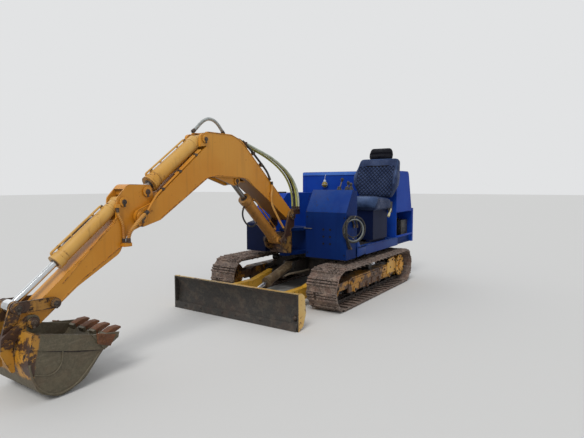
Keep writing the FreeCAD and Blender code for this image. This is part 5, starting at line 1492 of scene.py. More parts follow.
@dataclass
class HoseSet:
    """Every hose on the machine, on the same routes as the solids."""

    hose: float = 10.0
    guard: float = 14.0
    boom_half: float = 90.0
    gap: float = 0.4

    def over_back(self) -> None:
        """The four hoses over the boom's back and the one down its side, between the swing post and the boom."""
        looks = (Finishes.silver_hose, Finishes.pale_hose, Finishes.rubber, Finishes.pale_hose)
        bend = Bend(Body.SWING, Body.BOOM, (680, 0, 960), (900, 0, 1300))
        made = []
        for number, (lift, y) in enumerate(((0, 38), (10, 14), (22, -12), (12, -38))):
            points = (
                (1450, y, 1574 + lift / 2), (1280, y, 1527 + lift), (1143, y + 8, 1487 + lift),
                (1003, y + 25, 1440 + lift), (834, y + 48, 1350 + lift), (713, y + 62, 1255 + lift),
                (640, y + 72, 1150 + lift / 2), (612, y + 80, 1040), (612, y + 80, 930 + self.gap),
            )
            run = HoseRun(f"back_hose_{number}", points, self.hose, looks[number], Slot.PALE_HOSE, bend)
            made += run.build()
        y = self.boom_half + self.hose + self.gap
        side = (
            (1050, y, 1210), (1042, y, 1150), (1062, y, 1070), (1052, y + 1, 990),
            (985, y + 12, 885), (930, y + 24, 800), (880, y + 29, 740),
        )
        made += HoseRun("side_hose", side, self.hose, Finishes.cream_hose, Slot.PALE_HOSE, bend).build()
        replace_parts(made[0], "boom_hoses")

    def along_boom(self) -> None:
        """The hose along the boom's back edge and the guarded arch over its apex."""
        y = self.boom_half + self.hose + self.gap
        back = (
            (1420, 60, 1560), (1330, 66, 1500), (1240, 74, 1420), (1150, 82, 1345),
            (1098, 96, 1280), (1078, y + 1, 1222),
        )
        pieces = HoseRun("boom_edge_hose", back, self.hose, Finishes.rubber, Slot.RUBBER, Body.BOOM).build()
        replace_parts(pieces[0], "boom_back_hose")
        arch = (
            (1600, 0, 1609.5), (1650, 0, 1668), (1715, 0, 1712), (1790, 0, 1718),
            (1862, 0, 1680), (1925, 0, 1618), (1962, 0, 1594),
        )
        bend = Bend(Body.BOOM, Body.ARM_BARREL, (1650, 0, 1668), (1925, 0, 1618))
        run = HoseRun("arch", arch, self.guard, Finishes.rubber, Slot.GUARD, bend, Finishes.guard, 9.0)
        pieces = run.build()
        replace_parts(pieces[0], "arch_hose")

    def on_arm(self) -> None:
        """The guarded hose over the arm's pivot and the orange hose up its side."""
        cross = ((2496, 110, 996), (2560, 120, 958), (2608, 114, 905), (2638, 86, 850), (2638, 86, 796 + self.gap))
        bend = Bend(Body.BOOM, Body.ARM, (2510, 110, 990), (2630, 90, 850))
        run = HoseRun(
            "pivot_hose", cross, self.guard, Finishes.orange_hose, Slot.PALE_HOSE, bend, Finishes.cream_hose, 12.0
        )
        pieces = run.build()
        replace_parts(pieces[0], "arm_crossing_hose")
        y = 60 + self.hose + 2 * self.gap
        up = ((2662, y, 796 + self.gap), (2662, y, 870), (2668, y, 930), (2704, y, 985), (2704, y, 1030 - self.gap))
        run = HoseRun(
            "arm_side_hose", up, self.hose, Finishes.orange_hose, Slot.PALE_HOSE, Body.ARM, Finishes.cream_hose, 14.0
        )
        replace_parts(run.build()[0], "arm_hose")

    def by_barrel(
        self, name: str, node: str, body: Body, base: tuple[float, float], eye: tuple[float, float],
        route: Sequence[Place], radius: float,
    ) -> None:
        """A hose beside a cylinder, its route given as distance, height over the axis, and y.

        Args:
            name: The hose's name.
            node: The node that it replaces.
            body: The cylinder's body.
            base: The cylinder's base pin, x and z.
            eye: The rod's eye, x and z.
            route: The points along the barrel.
            radius: The hose's radius.
        """
        length = math.dist(base, eye)
        way_x, way_z = (eye[0] - base[0]) / length, (eye[1] - base[1]) / length
        points = tuple(
            (base[0] + way_x * far - way_z * up, y, base[1] + way_z * far + way_x * up) for far, up, y in route
        )
        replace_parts(HoseRun(name, points, radius, Finishes.rubber, Slot.RUBBER, body).build()[0], node)

    def on_cylinders(self) -> None:
        """The hoses beside the bucket cylinder and under the boom cylinder, and the blade's."""
        skin = -43 - self.gap
        out = skin - self.hose - 18
        route = ((125, 0, skin), (125, 0, out), (200, 14, out), (320, 22, out), (420, 10, out), (480, 0, out), (480, 0, skin))
        self.by_barrel(
            "bucket_ram_hose", "bucket_cylinder_hose", Body.BUCKET_BARREL, (2650, 1065), (3345, 512), route, self.hose
        )
        skin = -52 - self.gap
        route = (
            (585, skin, 0), (585, skin - 38, 0), (545, skin - 88, 0), (470, skin - 105, 0),
            (395, skin - 88, 0), (350, skin - 42, 0), (350, skin, 0),
        )
        self.by_barrel(
            "boom_ram_hose", "boom_cylinder_hose", Body.BOOM_BARREL, (863, 632), (1512, 1212), route, self.hose - 2
        )
        blade = ((330.4, 84, 262), (520, 84, 262), (640, 78, 270), (750, 66, 270), (830, 66, 252))
        bend = Bend(Body.UNDERCARRIAGE, Body.BLADE_BARREL, (420, 84, 262), (760, 66, 265))
        pieces = HoseRun("blade_ram_hose", blade, self.hose, Finishes.dusty_hose, Slot.RUBBER, bend).build()
        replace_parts(pieces[0], "blade_hose")

    def by_console(self) -> None:
        """The two hoses that loop beside the console."""
        pitch = 2 * self.hose + self.gap
        y = 690 - 8 + self.hose + self.gap
        made = []
        for number, (shift, step) in enumerate(((0, 0), (24, pitch))):
            loop = (
                (600, 560), (652 + shift, 640), (690 + shift, 740), (660 + shift, 830 + step),
                (590, 862 + step), (520 - shift, 830 + step), (500 - shift, 760),
            )
            points = tuple((x, y + step, z) for x, z in loop)
            made += HoseRun(f"console_loop_{number}", points, self.hose, Finishes.rubber, Slot.RUBBER, Body.UPPER).build()
        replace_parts(made[0], "console_hoses")
        for number, (size, drop, look) in enumerate(
            ((1.0, 0.0, Finishes.rubber), (0.86, 8.0, Finishes.grey_hose), (0.7, -12.0, Finishes.rubber))
        ):
            middle = Vector((560.0, 724.0 - number * 3, 748.0 - drop))
            reach, rise = Vector((-160.0, 46.0, 0.0)) * size, Vector((0.0, 0.0, 134.0)) * size
            loop = [
                middle + reach * math.cos(turn) + rise * math.sin(turn)
                for turn in (2 * math.pi * step / 8 + number * 0.3 for step in range(8))
            ]
            coil = start_mesh()
            tube = tube_mesh([at(*point) for point in loop], (9.0 - 1.5 * number) * SCALE, "coil", 3, closed=True)
            coil.from_mesh(tube)
            bpy.data.meshes.remove(tube)
            make_piece(f"console_coil_{number}", coil, look, Body.UPPER, 60.0)
        hook = start_mesh()
        add_tube(hook, [at(566, 680, 852), at(566, 712, 850), at(566, 728, 858), at(566, 737, 880)], 0.005)
        add_tube(hook, [at(520, 680, 660), at(520, 706, 650), at(540, 720, 640), at(560, 722, 624)], 0.005)
        make_piece("console_coil_hooks", hook, Finishes.bright_bolt, Body.UPPER)

    def build(self) -> None:
        """Builds every hose."""
        self.over_back()
        self.along_boom()
        self.on_arm()
        self.on_cylinders()
        self.by_console()


@dataclass
class Seat:
    """The driver's seat: cushion, quilted back, headrest, piping and recliner lever."""

    x: float = -210.0
    y: float = 478.0
    lean: float = 15.0
    cushion_foot: float = 905.0
    cushion_top: float = 1062.0
    back_foot: float = 1010.0
    back_rise: float = 22.0
    quilt: float = 46.0

    def lean_matrix(self) -> Matrix:
        """The turn of the backrest about the line where it meets the cushion."""
        pivot = at(self.x - 225, self.y, self.back_foot)
        turn = Matrix.Rotation(math.radians(-self.lean), 4, "Y")
        return Matrix.Translation(pivot) @ turn @ Matrix.Translation(-pivot)

    def puff(self, name: str, data: bpy.types.Mesh, voxel: float, pressure: float, cap: float) -> bpy.types.Mesh:
        """Blows a shape up as stuffed cloth and returns its mesh.

        Args:
            name: A name for the working object.
            data: The slightly small starting shape, which the remeshed copy replaces on the working object.
            voxel: The size of the remesh.
            pressure: The cloth's pressure.
            cap: How far a point may move.

        Returns:
            The padded mesh.
        """
        thing = bpy.data.objects.new(f"{name}_work", data)
        bpy.context.scene.collection.objects.link(thing)
        remesh = thing.modifiers.new("remesh", "REMESH")
        remesh.mode = "VOXEL"
        remesh.voxel_size = voxel
        thing.data = self.applied(thing)
        thing.modifiers.clear()
        before = [vert.co.copy() for vert in thing.data.vertices]
        cloth = thing.modifiers.new("cloth", "CLOTH")
        cloth.settings.use_pressure = True
        cloth.settings.uniform_pressure_force = pressure
        cloth.settings.effector_weights.gravity = 0.0
        cloth.settings.quality = 4
        cloth.point_cache.frame_start = 1
        cloth.point_cache.frame_end = 20
        for number in range(1, 21):
            bpy.context.scene.frame_set(number)
        thing.data = self.applied(thing)
        thing.modifiers.clear()
        bpy.context.scene.frame_set(1)
        for vert, start in zip(thing.data.vertices, before):
            move = vert.co - start
            if move.length > cap:
                vert.co = start + move.normalized() * cap
        mesh = thing.data
        bpy.data.objects.remove(thing)
        return mesh

    def applied(self, thing: bpy.types.Object) -> bpy.types.Mesh:
        """A copy of the object's mesh with its modifiers applied."""
        bpy.context.view_layer.update()
        graph = bpy.context.evaluated_depsgraph_get()
        return bpy.data.meshes.new_from_object(thing.evaluated_get(graph))

    def padded_piece(self, name: str, mesh: bmesh.types.BMesh, finish: Finish, node: str) -> None:
        """Makes a cushion piece that replaces its solid."""
        piece = make_piece(name, mesh, finish, Body.UPPER, 80.0)
        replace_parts(piece, node)

    def side_form(self, corners: Sequence[tuple[float, float]], y0: float, y1: float, bevel: float) -> bpy.types.Mesh:
        """A block with a side outline, strongly rounded, as a start for a cushion."""
        mesh = start_mesh()
        add_plate(mesh, [at(x, y0, z) for x, z in corners], Vector((0, (y1 - y0) * SCALE, 0)))
        soften(mesh, list(mesh.verts), bevel, 4)
        data = bpy.data.meshes.new("form")
        mesh.to_mesh(data)
        mesh.free()
        return data

    def front_form(self, corners: Sequence[tuple[float, float]], x0: float, x1: float, bevel: float) -> bpy.types.Mesh:
        """A block with a front outline, strongly rounded, as a start for a backrest."""
        mesh = start_mesh()
        add_plate(mesh, [at(x0, y, z) for y, z in corners], Vector(((x1 - x0) * SCALE, 0, 0)))
        soften(mesh, list(mesh.verts), bevel, 4)
        data = bpy.data.meshes.new("form")
        mesh.to_mesh(data)
        mesh.free()
        return data

    def refined(self, data: bpy.types.Mesh) -> bmesh.types.BMesh:
        """A padded mesh divided once more and smoothed, ready for its seams."""
        mesh = start_mesh()
        mesh.from_mesh(data)
        bmesh.ops.subdivide_edges(mesh, edges=mesh.edges[:], cuts=1, use_grid_fill=True)
        for _ in range(3):
            bmesh.ops.smooth_vert(mesh, verts=mesh.verts, factor=0.5, use_axis_x=True, use_axis_y=True, use_axis_z=True)
        mesh.normal_update()
        return mesh

    def cushion(self) -> None:
        """The cushion with a seam behind its smooth front roll and along both sides."""
        corners = (
            (self.x - 218, self.cushion_foot + 6), (self.x + 236, self.cushion_foot + 6),
            (self.x + 262, self.cushion_foot + 60), (self.x + 256, self.cushion_top - 30),
            (self.x + 190, self.cushion_top - 14), (self.x - 218, self.cushion_top - 46),
        )
        data = self.puff("cushion", self.side_form(corners, self.y - 238, self.y + 238, 0.024), 0.010, 4.0, 0.012)
        mesh = self.refined(data)
        self.round_plan(mesh, self.x + 262, 242, 92)
        seam_x = at(self.x + 150, 0, 0).x
        middle_y = self.y * SCALE
        for vert in mesh.verts:
            if vert.normal.z < 0.3:
                continue
            near = abs(vert.co.x - seam_x)
            vert.co.z -= 0.009 * math.exp(-((near / 0.008) ** 2))
            for line in (-0.14, 0.14):
                if vert.co.x < seam_x:
                    vert.co.z -= 0.006 * math.exp(-(((vert.co.y - middle_y - line) / 0.008) ** 2))
        self.padded_piece("cushion_top", mesh, Finishes.seat, "seat_cushion")
        roll_corners = (
            (self.x + 158, self.cushion_top - 30), (self.x + 198, self.cushion_top - 10),
            (self.x + 250, self.cushion_top - 18), (self.x + 270, self.cushion_top - 58),
            (self.x + 262, self.cushion_foot + 30), (self.x + 232, self.cushion_foot + 20),
        )
        roll = self.puff("roll", self.side_form(roll_corners, self.y - 242, self.y + 242, 0.014), 0.010, 3.0, 0.008)
        rolled = self.refined(roll)
        self.round_plan(rolled, self.x + 276, 250, 100)
        piece = make_piece("cushion_roll", rolled, Finishes.seat_roll, Body.UPPER, 80.0)

    def back(self) -> None:
        """The backrest with diamond quilting under a plain yoke and a slit."""
        foot = self.back_foot + self.back_rise
        corners = (
            (self.y - 196, foot + 6), (self.y + 206, foot + 6), (self.y + 262, self.back_foot + 170),
            (self.y + 268, self.back_foot + 300), (self.y + 262, self.back_foot + 480),
            (self.y + 236, self.back_foot + 510), (self.y - 214, self.back_foot + 510),
            (self.y - 240, self.back_foot + 480), (self.y - 270, self.back_foot + 300),
            (self.y - 262, self.back_foot + 170),
        )
        data = self.puff("back", self.front_form(corners, self.x - 312, self.x - 240, 0.024), 0.010, 4.0, 0.010)
        mesh = self.refined(data)
        rear = at(self.x - 312, 0, 0).x
        for vert in mesh.verts:
            side = vert.co.y - self.y * SCALE
            swell = math.exp(-(((vert.co.z - self.back_foot * SCALE - 0.23) / 0.14) ** 2))
            edge = min(1.0, max(0.0, (abs(side) - 0.12) / 0.14))
            edge = edge * edge * (3 - 2 * edge)
            vert.co.x += (0.008 + 0.056 * swell) * edge * min(1.1, max(0.0, (vert.co.x - rear) / 0.072))
            vert.co.y += math.copysign(0.019 * swell * edge, side)
        bmesh.ops.subdivide_edges(
            mesh, edges=[e for e in mesh.edges if all(v.normal.x > 0.5 for v in e.verts)], cuts=1, use_grid_fill=True
        )
        mesh.normal_update()
        groove_shade_layer = mesh.verts.layers.float.new("groove")
        yoke_z = (self.back_foot + 400) * SCALE
        step = self.quilt * SCALE
        for vert in mesh.verts:
            if vert.normal.x < 0.35:
                continue
            side = vert.co.y - self.y * SCALE
            rise = vert.co.z - self.back_foot * SCALE
            share = min(1.0, max(0.0, (vert.normal.x - 0.35) / 0.3))
            if vert.co.z < yoke_z and abs(side) < 0.225:
                first = abs(((side + rise) / step) % 1.0 - 0.5)
                second = abs(((side - rise) / step) % 1.0 - 0.5)
                groove = max(math.exp(-(((0.5 - first) / 0.12) ** 2)), math.exp(-(((0.5 - second) / 0.12) ** 2)))
                vert.co.x -= 0.009 * groove * share
                # the groove mask also goes to the cover's colour, as painted shade in the grooves
                vert[groove_shade_layer] = groove * share
            elif abs(vert.co.z - yoke_z) < 0.02 and abs(side) < 0.15:
                vert.co.x -= 0.010 * math.exp(-(((vert.co.z - yoke_z) / 0.007) ** 2)) * share
        self.piping(mesh, corners)
        bmesh.ops.transform(mesh, matrix=self.lean_matrix(), verts=mesh.verts)
        self.padded_piece("quilted_back", mesh, Finishes.seat, "seat_back")
        slit = start_mesh()
        line = [at(self.x - 238, self.y + y, self.back_foot + 404 + abs(y) * 0.03) for y in (-140, -70, 0, 70, 140)]
        add_tube(slit, [self.lean_matrix() @ point for point in line], 0.0095, 2)
        make_piece("back_slit", slit, Finishes.seat_dark, Body.UPPER, 60.0)

    def piping(self, mesh: bmesh.types.BMesh, corners: Sequence[tuple[float, float]]) -> None:
        """Lays a welt on the backrest's front face, just inside its outline.

        Args:
            mesh: The backrest before it leans.
            corners: Its outline, y and z, from its foot round to its other side.
        """
        tree = BVHTree.FromBMesh(mesh)
        middle = Vector((self.y, self.back_foot + 270))
        outline = [Vector(corner) for corner in corners[2:]]
        places = []
        for first, second in zip(outline, outline[1:]):
            for share in (0.0, 0.34, 0.67):
                y, z = middle + (first.lerp(second, share) - middle) * 0.93
                spot = tree.ray_cast(at(self.x + 200, y, z), Vector((-1, 0, 0)))[0]
                if spot is not None:
                    places.append(self.lean_matrix() @ spot)
        welt = start_mesh()
        add_tube(welt, places, 0.0045, 2)
        make_piece("back_welt", welt, Finishes.seat_roll, Body.UPPER, 60.0)

    def round_plan(self, mesh: bmesh.types.BMesh, front: float, half: float, radius: float) -> None:
        """Rounds a cushion's two front corners, seen from above.

        Args:
            mesh: The cushion.
            front: Its front edge's x, in millimetres.
            half: Half of its width.
            radius: The corners' radius.
        """
        for vert in mesh.verts:
            ahead = vert.co.x - at(front - radius, 0, 0).x
            side = vert.co.y - self.y * SCALE
            beside = abs(side) - (half - radius) * SCALE
            if ahead > 0 and beside > 0:
                keep = max(ahead, beside) / math.hypot(ahead, beside)
                vert.co.x -= ahead * (1 - keep)
                vert.co.y -= math.copysign(beside * (1 - keep), side)

    def head(self) -> None:
        """The headrest, low on the backrest, with a dark channel across it."""
        low = self.back_foot + 508
        corners = (
            (self.y - 128, low - 8), (self.y + 152, low - 8), (self.y + 158, low + 60),
            (self.y + 134, low + 128), (self.y - 110, low + 128), (self.y - 134, low + 60),
        )
        data = self.puff("head", self.front_form(corners, self.x - 312, self.x - 244, 0.024), 0.009, 4.0, 0.009)
        mesh = self.refined(data)
        middle = (low + 52) * SCALE
        for vert in mesh.verts:
            if vert.normal.x > 0.3:
                vert.co.x -= 0.014 * math.exp(-(((vert.co.z - middle) / 0.013) ** 2))
        bmesh.ops.transform(mesh, matrix=self.lean_matrix(), verts=mesh.verts)
        self.padded_piece("head_pad", mesh, Finishes.seat_dark, "headrest")

    def trim(self) -> None:
        """The recliner plate and its lever."""
        metal = start_mesh()
        hinge_y = self.y + 205
        add_plate(
            metal,
            [at(self.x - 290, hinge_y, 860), at(self.x - 190, hinge_y, 860), at(self.x - 150, hinge_y, 905),
             at(self.x - 236, hinge_y, 985), at(self.x - 286, hinge_y, 985)],
            Vector((0, 0.008, 0)), 0.001,
        )
        make_piece("recliner_plate", metal, Finishes.iron, Body.UPPER)
        lever = start_mesh()
        add_tube(
            lever,
            [at(self.x - 235, hinge_y + 12, 905), at(self.x - 205, hinge_y + 26, 900),
             at(self.x - 150, hinge_y + 34, 872), at(self.x - 118, hinge_y + 36, 846)],
            0.007, 2,
        )
        add_rod(
            lever, at(self.x - 136, hinge_y + 35, 862), at(self.x - 96, hinge_y + 38, 826), 0.012, 0.016,
            sides=18, bevel=0.004,
        )
        make_piece("recliner_lever", lever, Finishes.cream, Body.UPPER)

    def build(self) -> None:
        """Builds the whole seat."""
        self.cushion()
        self.back()
        self.head()
        self.trim()


@dataclass
class Station:
    """The driver's place: console lid, recesses, levers, pedals and the work lamp."""

    console_front: float = 645.0
    console_left: float = 682.0
    console_right: float = 225.0
    lamp_y: float = -262.0
    lamp_z: float = 1185.0

    def console(self) -> None:
        """The console's pale sloping panel, its screws, a small shelf and dark holes."""
        panel = start_mesh()
        foot, ridge, top = 905.0, 505.0, 1130.0
        out = Vector((top - foot, 0, self.console_front - ridge)).normalized()
        corners = []
        for y, share in ((self.console_right + 3, 0.012), (self.console_left - 3, 0.012),
                         (self.console_left - 3, 0.985), (self.console_right + 3, 0.985)):
            x = self.console_front + (ridge - self.console_front) * share
            corners.append(at(x, y, foot + (top - foot) * share))
        add_plate(panel, corners, out * 0.0025, 0.0008)
        make_piece("console_panel", panel, Finishes.blue_floor, Body.UPPER)
        screws = start_mesh()
        for y in (245, 660):
            for z in (500, 860):
                add_bolt(screws, at(self.console_front, y, z), Vector((1, 0, 0)), 0.006)
        make_piece("console_screws", screws, Finishes.blue_deep_painted_shade, Body.UPPER)
        shelf = start_mesh()
        add_box(shelf, at(600, 206, 742), at(656, 300, 747), 0.001)
        add_plate(shelf, [at(600, 226, 700), at(600, 226, 744), at(648, 226, 744)], Vector((0, 0.004, 0)))
        make_piece("console_shelf", shelf, Finishes.bright_bolt, Body.UPPER)
        holes = start_mesh()
        for y in (430, 505):
            for z in (600, 670, 740):
                add_ring(holes, at(645.4, y, z), Vector((1, 0, 0)), 0.0098, 0.0018, 20, 6)
                add_rod(holes, at(632, y, z), at(640, y, z), 0.0088, sides=18)
        make_piece("console_hole_rims", holes, Finishes.hollow, Body.UPPER)

    def pedals(self) -> None:
        """Two travel pedals and their levers behind the console, and a rubber floor mat."""
        mat = start_mesh()
        add_box(mat, at(-40, 250, 555), at(400, 640, 559), 0.001)
        for number in range(21):
            x = -24 + number * 20
            add_box(mat, at(x, 258, 558.5), at(x + 9, 632, 561), 0.0008)
        make_piece("floor_mat", mat, Finishes.black, Body.UPPER)
        metal = start_mesh()
        for y in (400, 500):
            add_tube(metal, [at(392, y, 560), at(380, y, 680), at(352, y, 800), at(330, y, 872)], 0.008, 2)
            add_box(metal, at(330, y - 34, 574), at(398, y + 34, 584), 0.003)
        make_piece("travel_levers", metal, Finishes.iron, Body.UPPER)
        knobs = start_mesh()
        for y in (400, 500):
            add_rod(knobs, at(334, y, 860), at(322, y, 900), 0.013, 0.017, sides=20, bevel=0.005)
        make_piece("travel_knobs", knobs, Finishes.black, Body.UPPER)

    def levers(self) -> None:
        """Pleated boots and caps over the console's hand levers."""
        boots = start_mesh()
        for x, y in ((478, 515), (452, 588), (470, 640)):
            for number in range(4):
                foot = 1120 + number * 10
                radius = (28 - number * 3.6) * SCALE
                add_rod(boots, at(x, y, foot), at(x, y, foot + 11), radius, radius * 0.86, sides=24, bevel=0.0015)
        make_piece("lever_boots", boots, Finishes.black, Body.UPPER)
        knobs = start_mesh()
        for x, y, lean, height in ((478, 515, 28, 110), (452, 588, 8, 78), (470, 640, -6, 62)):
            foot, tip = at(x, y, 1122), at(x - 10, y + lean, 1122 + height)
            way = (tip - foot).normalized()
            place = Matrix.Translation(tip)
            bmesh.ops.create_uvsphere(knobs, u_segments=24, v_segments=16, radius=0.0162, matrix=place)
            add_rod(knobs, tip - way * 0.026, tip - way * 0.008, 0.0085, 0.0125, sides=20, bevel=0.002)
        make_piece("lever_knobs", knobs, Finishes.black, Body.UPPER)

    def lamp(self) -> None:
        """The pear-shaped lamp that hangs on its strap, with a wire cage line and its cap."""
        x = (-630.0 + 38)
        glass = start_mesh()
        centre = at(x, self.lamp_y, self.lamp_z)
        made = bmesh.ops.create_uvsphere(glass, u_segments=32, v_segments=20, radius=0.037, matrix=Matrix.Translation(centre))
        for vert in made["verts"]:
            up = (vert.co.z - centre.z) / 0.037
            pinch = 1.0 - 0.42 * max(0.0, up) ** 1.4
            vert.co.x = centre.x + (vert.co.x - centre.x) * pinch
            vert.co.y = centre.y + (vert.co.y - centre.y) * pinch
            vert.co.z = centre.z + (vert.co.z - centre.z) * (1.25 if up > 0 else 1.0)
        piece = make_piece("lamp_bulb", glass, Finishes.amber, Body.UPPER, 60.0)
        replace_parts(piece, "work_lamp")
        cap = start_mesh()
        add_rod(cap, centre + Vector((0, 0, 0.036)), centre + Vector((0, 0, 0.062)), 0.020, 0.012, sides=24, bevel=0.002)
        add_ring(cap, centre, Vector((0, 0, 1)), 0.0372, 0.0016)
        add_ring(cap, centre, Vector((1, 0, 0)), 0.0382, 0.0014)
        strap_top = at(x - 28, self.lamp_y, 1316)
        add_tube(cap, [centre + Vector((0, 0, 0.06)), centre + Vector((-0.004, 0, 0.09)), strap_top], 0.0028, 2)
        make_piece("lamp_cap", cap, Finishes.strap, Body.UPPER)

    def build(self) -> None:
        """Builds the station."""
        self.console()
        self.pedals()
        self.levers()
        self.lamp()


@dataclass
class House:
    """The blue body: hood seams, louvres, latches, tank cap, floor skirt and tail details."""

    left: float = 690.0
    right: float = -620.0
    hood_front: float = -630.0
    hood_top: float = 1345.0
    hood_sill: float = 850.0
    deck_top: float = 545.0
    tail_front: float = -1180.0

    def seams(self) -> None:
        """Raised hems and folded lips along the panels' edges, and a pale strip on the hood's top front edge as a
        painted highlight.
        """
        lips = start_mesh()
        front = self.hood_front
        add_box(lips, at(front - 2, self.right + 4, self.hood_top - 34), at(front + 4, self.left - 4, self.hood_top - 26), 0.001)
        add_tube(lips, [at(front - 14, self.right + 10, self.hood_top - 3), at(front - 14, self.left - 10, self.hood_top - 3)], 0.005)
        add_tube(lips, [at(front - 10, self.left, self.hood_sill + 4), at(-1150, self.left, self.hood_sill + 4)], 0.005)
        add_box(lips, at(-1180, self.left - 2, self.deck_top + 4), at(-640, self.left + 3, self.deck_top + 30), 0.002)
        make_piece("panel_hems", lips, Finishes.blue, Body.UPPER)
        # a pale plate along the hood's top front edge: a painted highlight standing in for the lit top face
        highlight_strip = start_mesh()
        top = [at(front + 1, self.right + 6, self.hood_top - 44), at(front + 1, self.left - 8, self.hood_top - 44),
               at(front - 9, self.left - 8, self.hood_top - 4), at(front - 9, self.right + 6, self.hood_top - 4)]
        add_plate(highlight_strip, top, Vector((0.008, 0, 0.002)), 0.001)
        make_piece("hood_hem", highlight_strip, Finishes.blue_painted_highlight, Body.UPPER)

    def louvres(self) -> None:
        """Rows of pressed louvres in the right side and in the rear door."""
        slats = start_mesh()
        for number in range(9):
            x = -1130 + number * 52
            add_rod(slats, at(x, self.right - 1, 620), at(x, self.right - 1, 800), 0.010, sides=12, bevel=0.003)
        make_piece("side_louvres", slats, Finishes.blue, Body.UPPER)
        rear = start_mesh()
        for column in (-270, 60, 390):
            for number in range(6):
                share = number / 5
                x = -1066 - share * 62
                z = 1180 - share * 232
                add_rod(rear, at(x - 2, column - 110, z), at(x - 2, column + 110, z), 0.009, sides=12, bevel=0.002)
        make_piece("door_louvres", rear, Finishes.blue, Body.DOOR)
        latch = start_mesh()
        for y in (-120, 190):
            add_box(latch, at(-1164, y - 30, 884), at(-1142, y + 30, 910), 0.004)
            add_rod(latch, at(-1160, y, 897), at(-1170, y, 898), 0.014, sides=20, bevel=0.002)
        make_piece("door_latches", latch, Finishes.black, Body.DOOR)

    def tank(self) -> None:
        """The filler cap with its grip ridges and the drain plug on the side tank, and the tank's ribs."""
        metal = start_mesh()
        add_rod(metal, at(120, -430, 1083), at(120, -430, 1101), 0.046, 0.044, sides=36, bevel=0.003)
        for number in range(12):
            angle = 2 * math.pi * number / 12
            spot = at(120, -430, 1094) + Vector((math.cos(angle), math.sin(angle), 0)) * 0.045
            add_rod(metal, spot - Vector((0, 0, 0.007)), spot + Vector((0, 0, 0.007)), 0.004, sides=8)
        add_rod(metal, at(-300, -620, 640), at(-300, -628, 640), 0.018, sides=6)
        make_piece("tank_cap", metal, Finishes.black, Body.UPPER)
        hems = start_mesh()
        for x in (-580, 60):
            add_box(hems, at(x, self.right - 3, 570), at(x + 14, self.right + 1, 1060), 0.002)
        add_box(hems, at(-600, self.right - 3, 560), at(420, self.right + 1, 574), 0.002)
        make_piece("tank_ribs", hems, Finishes.blue, Body.UPPER)

    def skirt(self) -> None:
        """The rolled edge of the floor's skirt and the step's grip strip."""
        edge = start_mesh()
        add_tube(edge, [at(-640, self.left, 552), at(-200, self.left + 1, 553), at(214, self.left, 552)], 0.0055)
        for number in range(26):
            x = -560 + number * 28
            add_rod(edge, at(x, 640, 556), at(x + 10, 668, 556), 0.003, sides=6)
        make_piece("floor_edge", edge, Finishes.blue_floor, Body.UPPER)
        sill = start_mesh()
        corners = [(213, 470), (416, 456), (416, 640), (330, 556), (213, 556)]
        add_plate(sill, [at(x, self.left - 8, z) for x, z in corners], Vector((0, 0.008, 0)), 0.0015)
        make_piece("floor_sill", sill, Finishes.blue_floor, Body.UPPER)

    def engine_bay(self) -> None:
        """What shows through the open side behind the seat: ribs, belt, filter and battery."""
        block_y = 330.0
        ribs = start_mesh()
        for number in range(7):
            x = -1022 + number * 48
            add_box(ribs, at(x, block_y - 2, 600), at(x + 16, block_y + 14, 860), 0.004)
        add_rod(ribs, at(-960, block_y + 2, 720), at(-960, block_y + 34, 720), 0.078, 0.07, sides=40, bevel=0.004)
        add_rod(ribs, at(-820, block_y + 2, 830), at(-820, block_y + 40, 830), 0.046, 0.042, sides=32, bevel=0.003)
        add_ring(ribs, at(-960, block_y + 24, 720), Vector((0, 1, 0)), 0.08, 0.006)
        make_piece("engine_side", ribs, Finishes.iron, Body.UPPER)
        rubber = start_mesh()
        add_rod(rubber, at(-1010, 420, 640), at(-800, 420, 640), 0.062, sides=36, bevel=0.008)
        add_tube(rubber, [at(-800, 420, 640), at(-740, 430, 660), at(-720, 440, 760), at(-760, 400, 860)], 0.022)
        add_tube(rubber, [at(-700, 520, 560), at(-720, 540, 700), at(-780, 500, 790), at(-860, 380, 800)], 0.014)
        make_piece("air_filter", rubber, Finishes.black, Body.UPPER)
        battery = start_mesh()
        add_box(battery, at(-1150, 470, 552), at(-930, 640, 740), 0.006)
        add_rod(battery, at(-1100, 520, 739), at(-1100, 520, 756), 0.012, sides=18)
        add_rod(battery, at(-980, 520, 739), at(-980, 520, 756), 0.012, sides=18)
        make_piece("battery", battery, Finishes.black, Body.UPPER)

    def tail(self) -> None:
        """Bolts and a lifting eye on the counterweight."""
        metal = start_mesh()
        for y in (-480, -180, 250, 550):
            add_bolt(metal, at(-1215, y, 880), Vector((0, 0, 1)), 0.013)
        make_piece("tail_bolts", metal, Finishes.fastener, Body.UPPER)
        eye = start_mesh()
        add_ring(eye, at(-1250, 35, 893), Vector((0, 1, 0)), 0.026, 0.009)
        make_piece("tail_eye", eye, Finishes.blue, Body.UPPER)

    def build(self) -> None:
        """Builds the house's details."""
        self.seams()
        self.louvres()
        self.tank()
        self.skirt()
        self.engine_bay()
        self.tail()


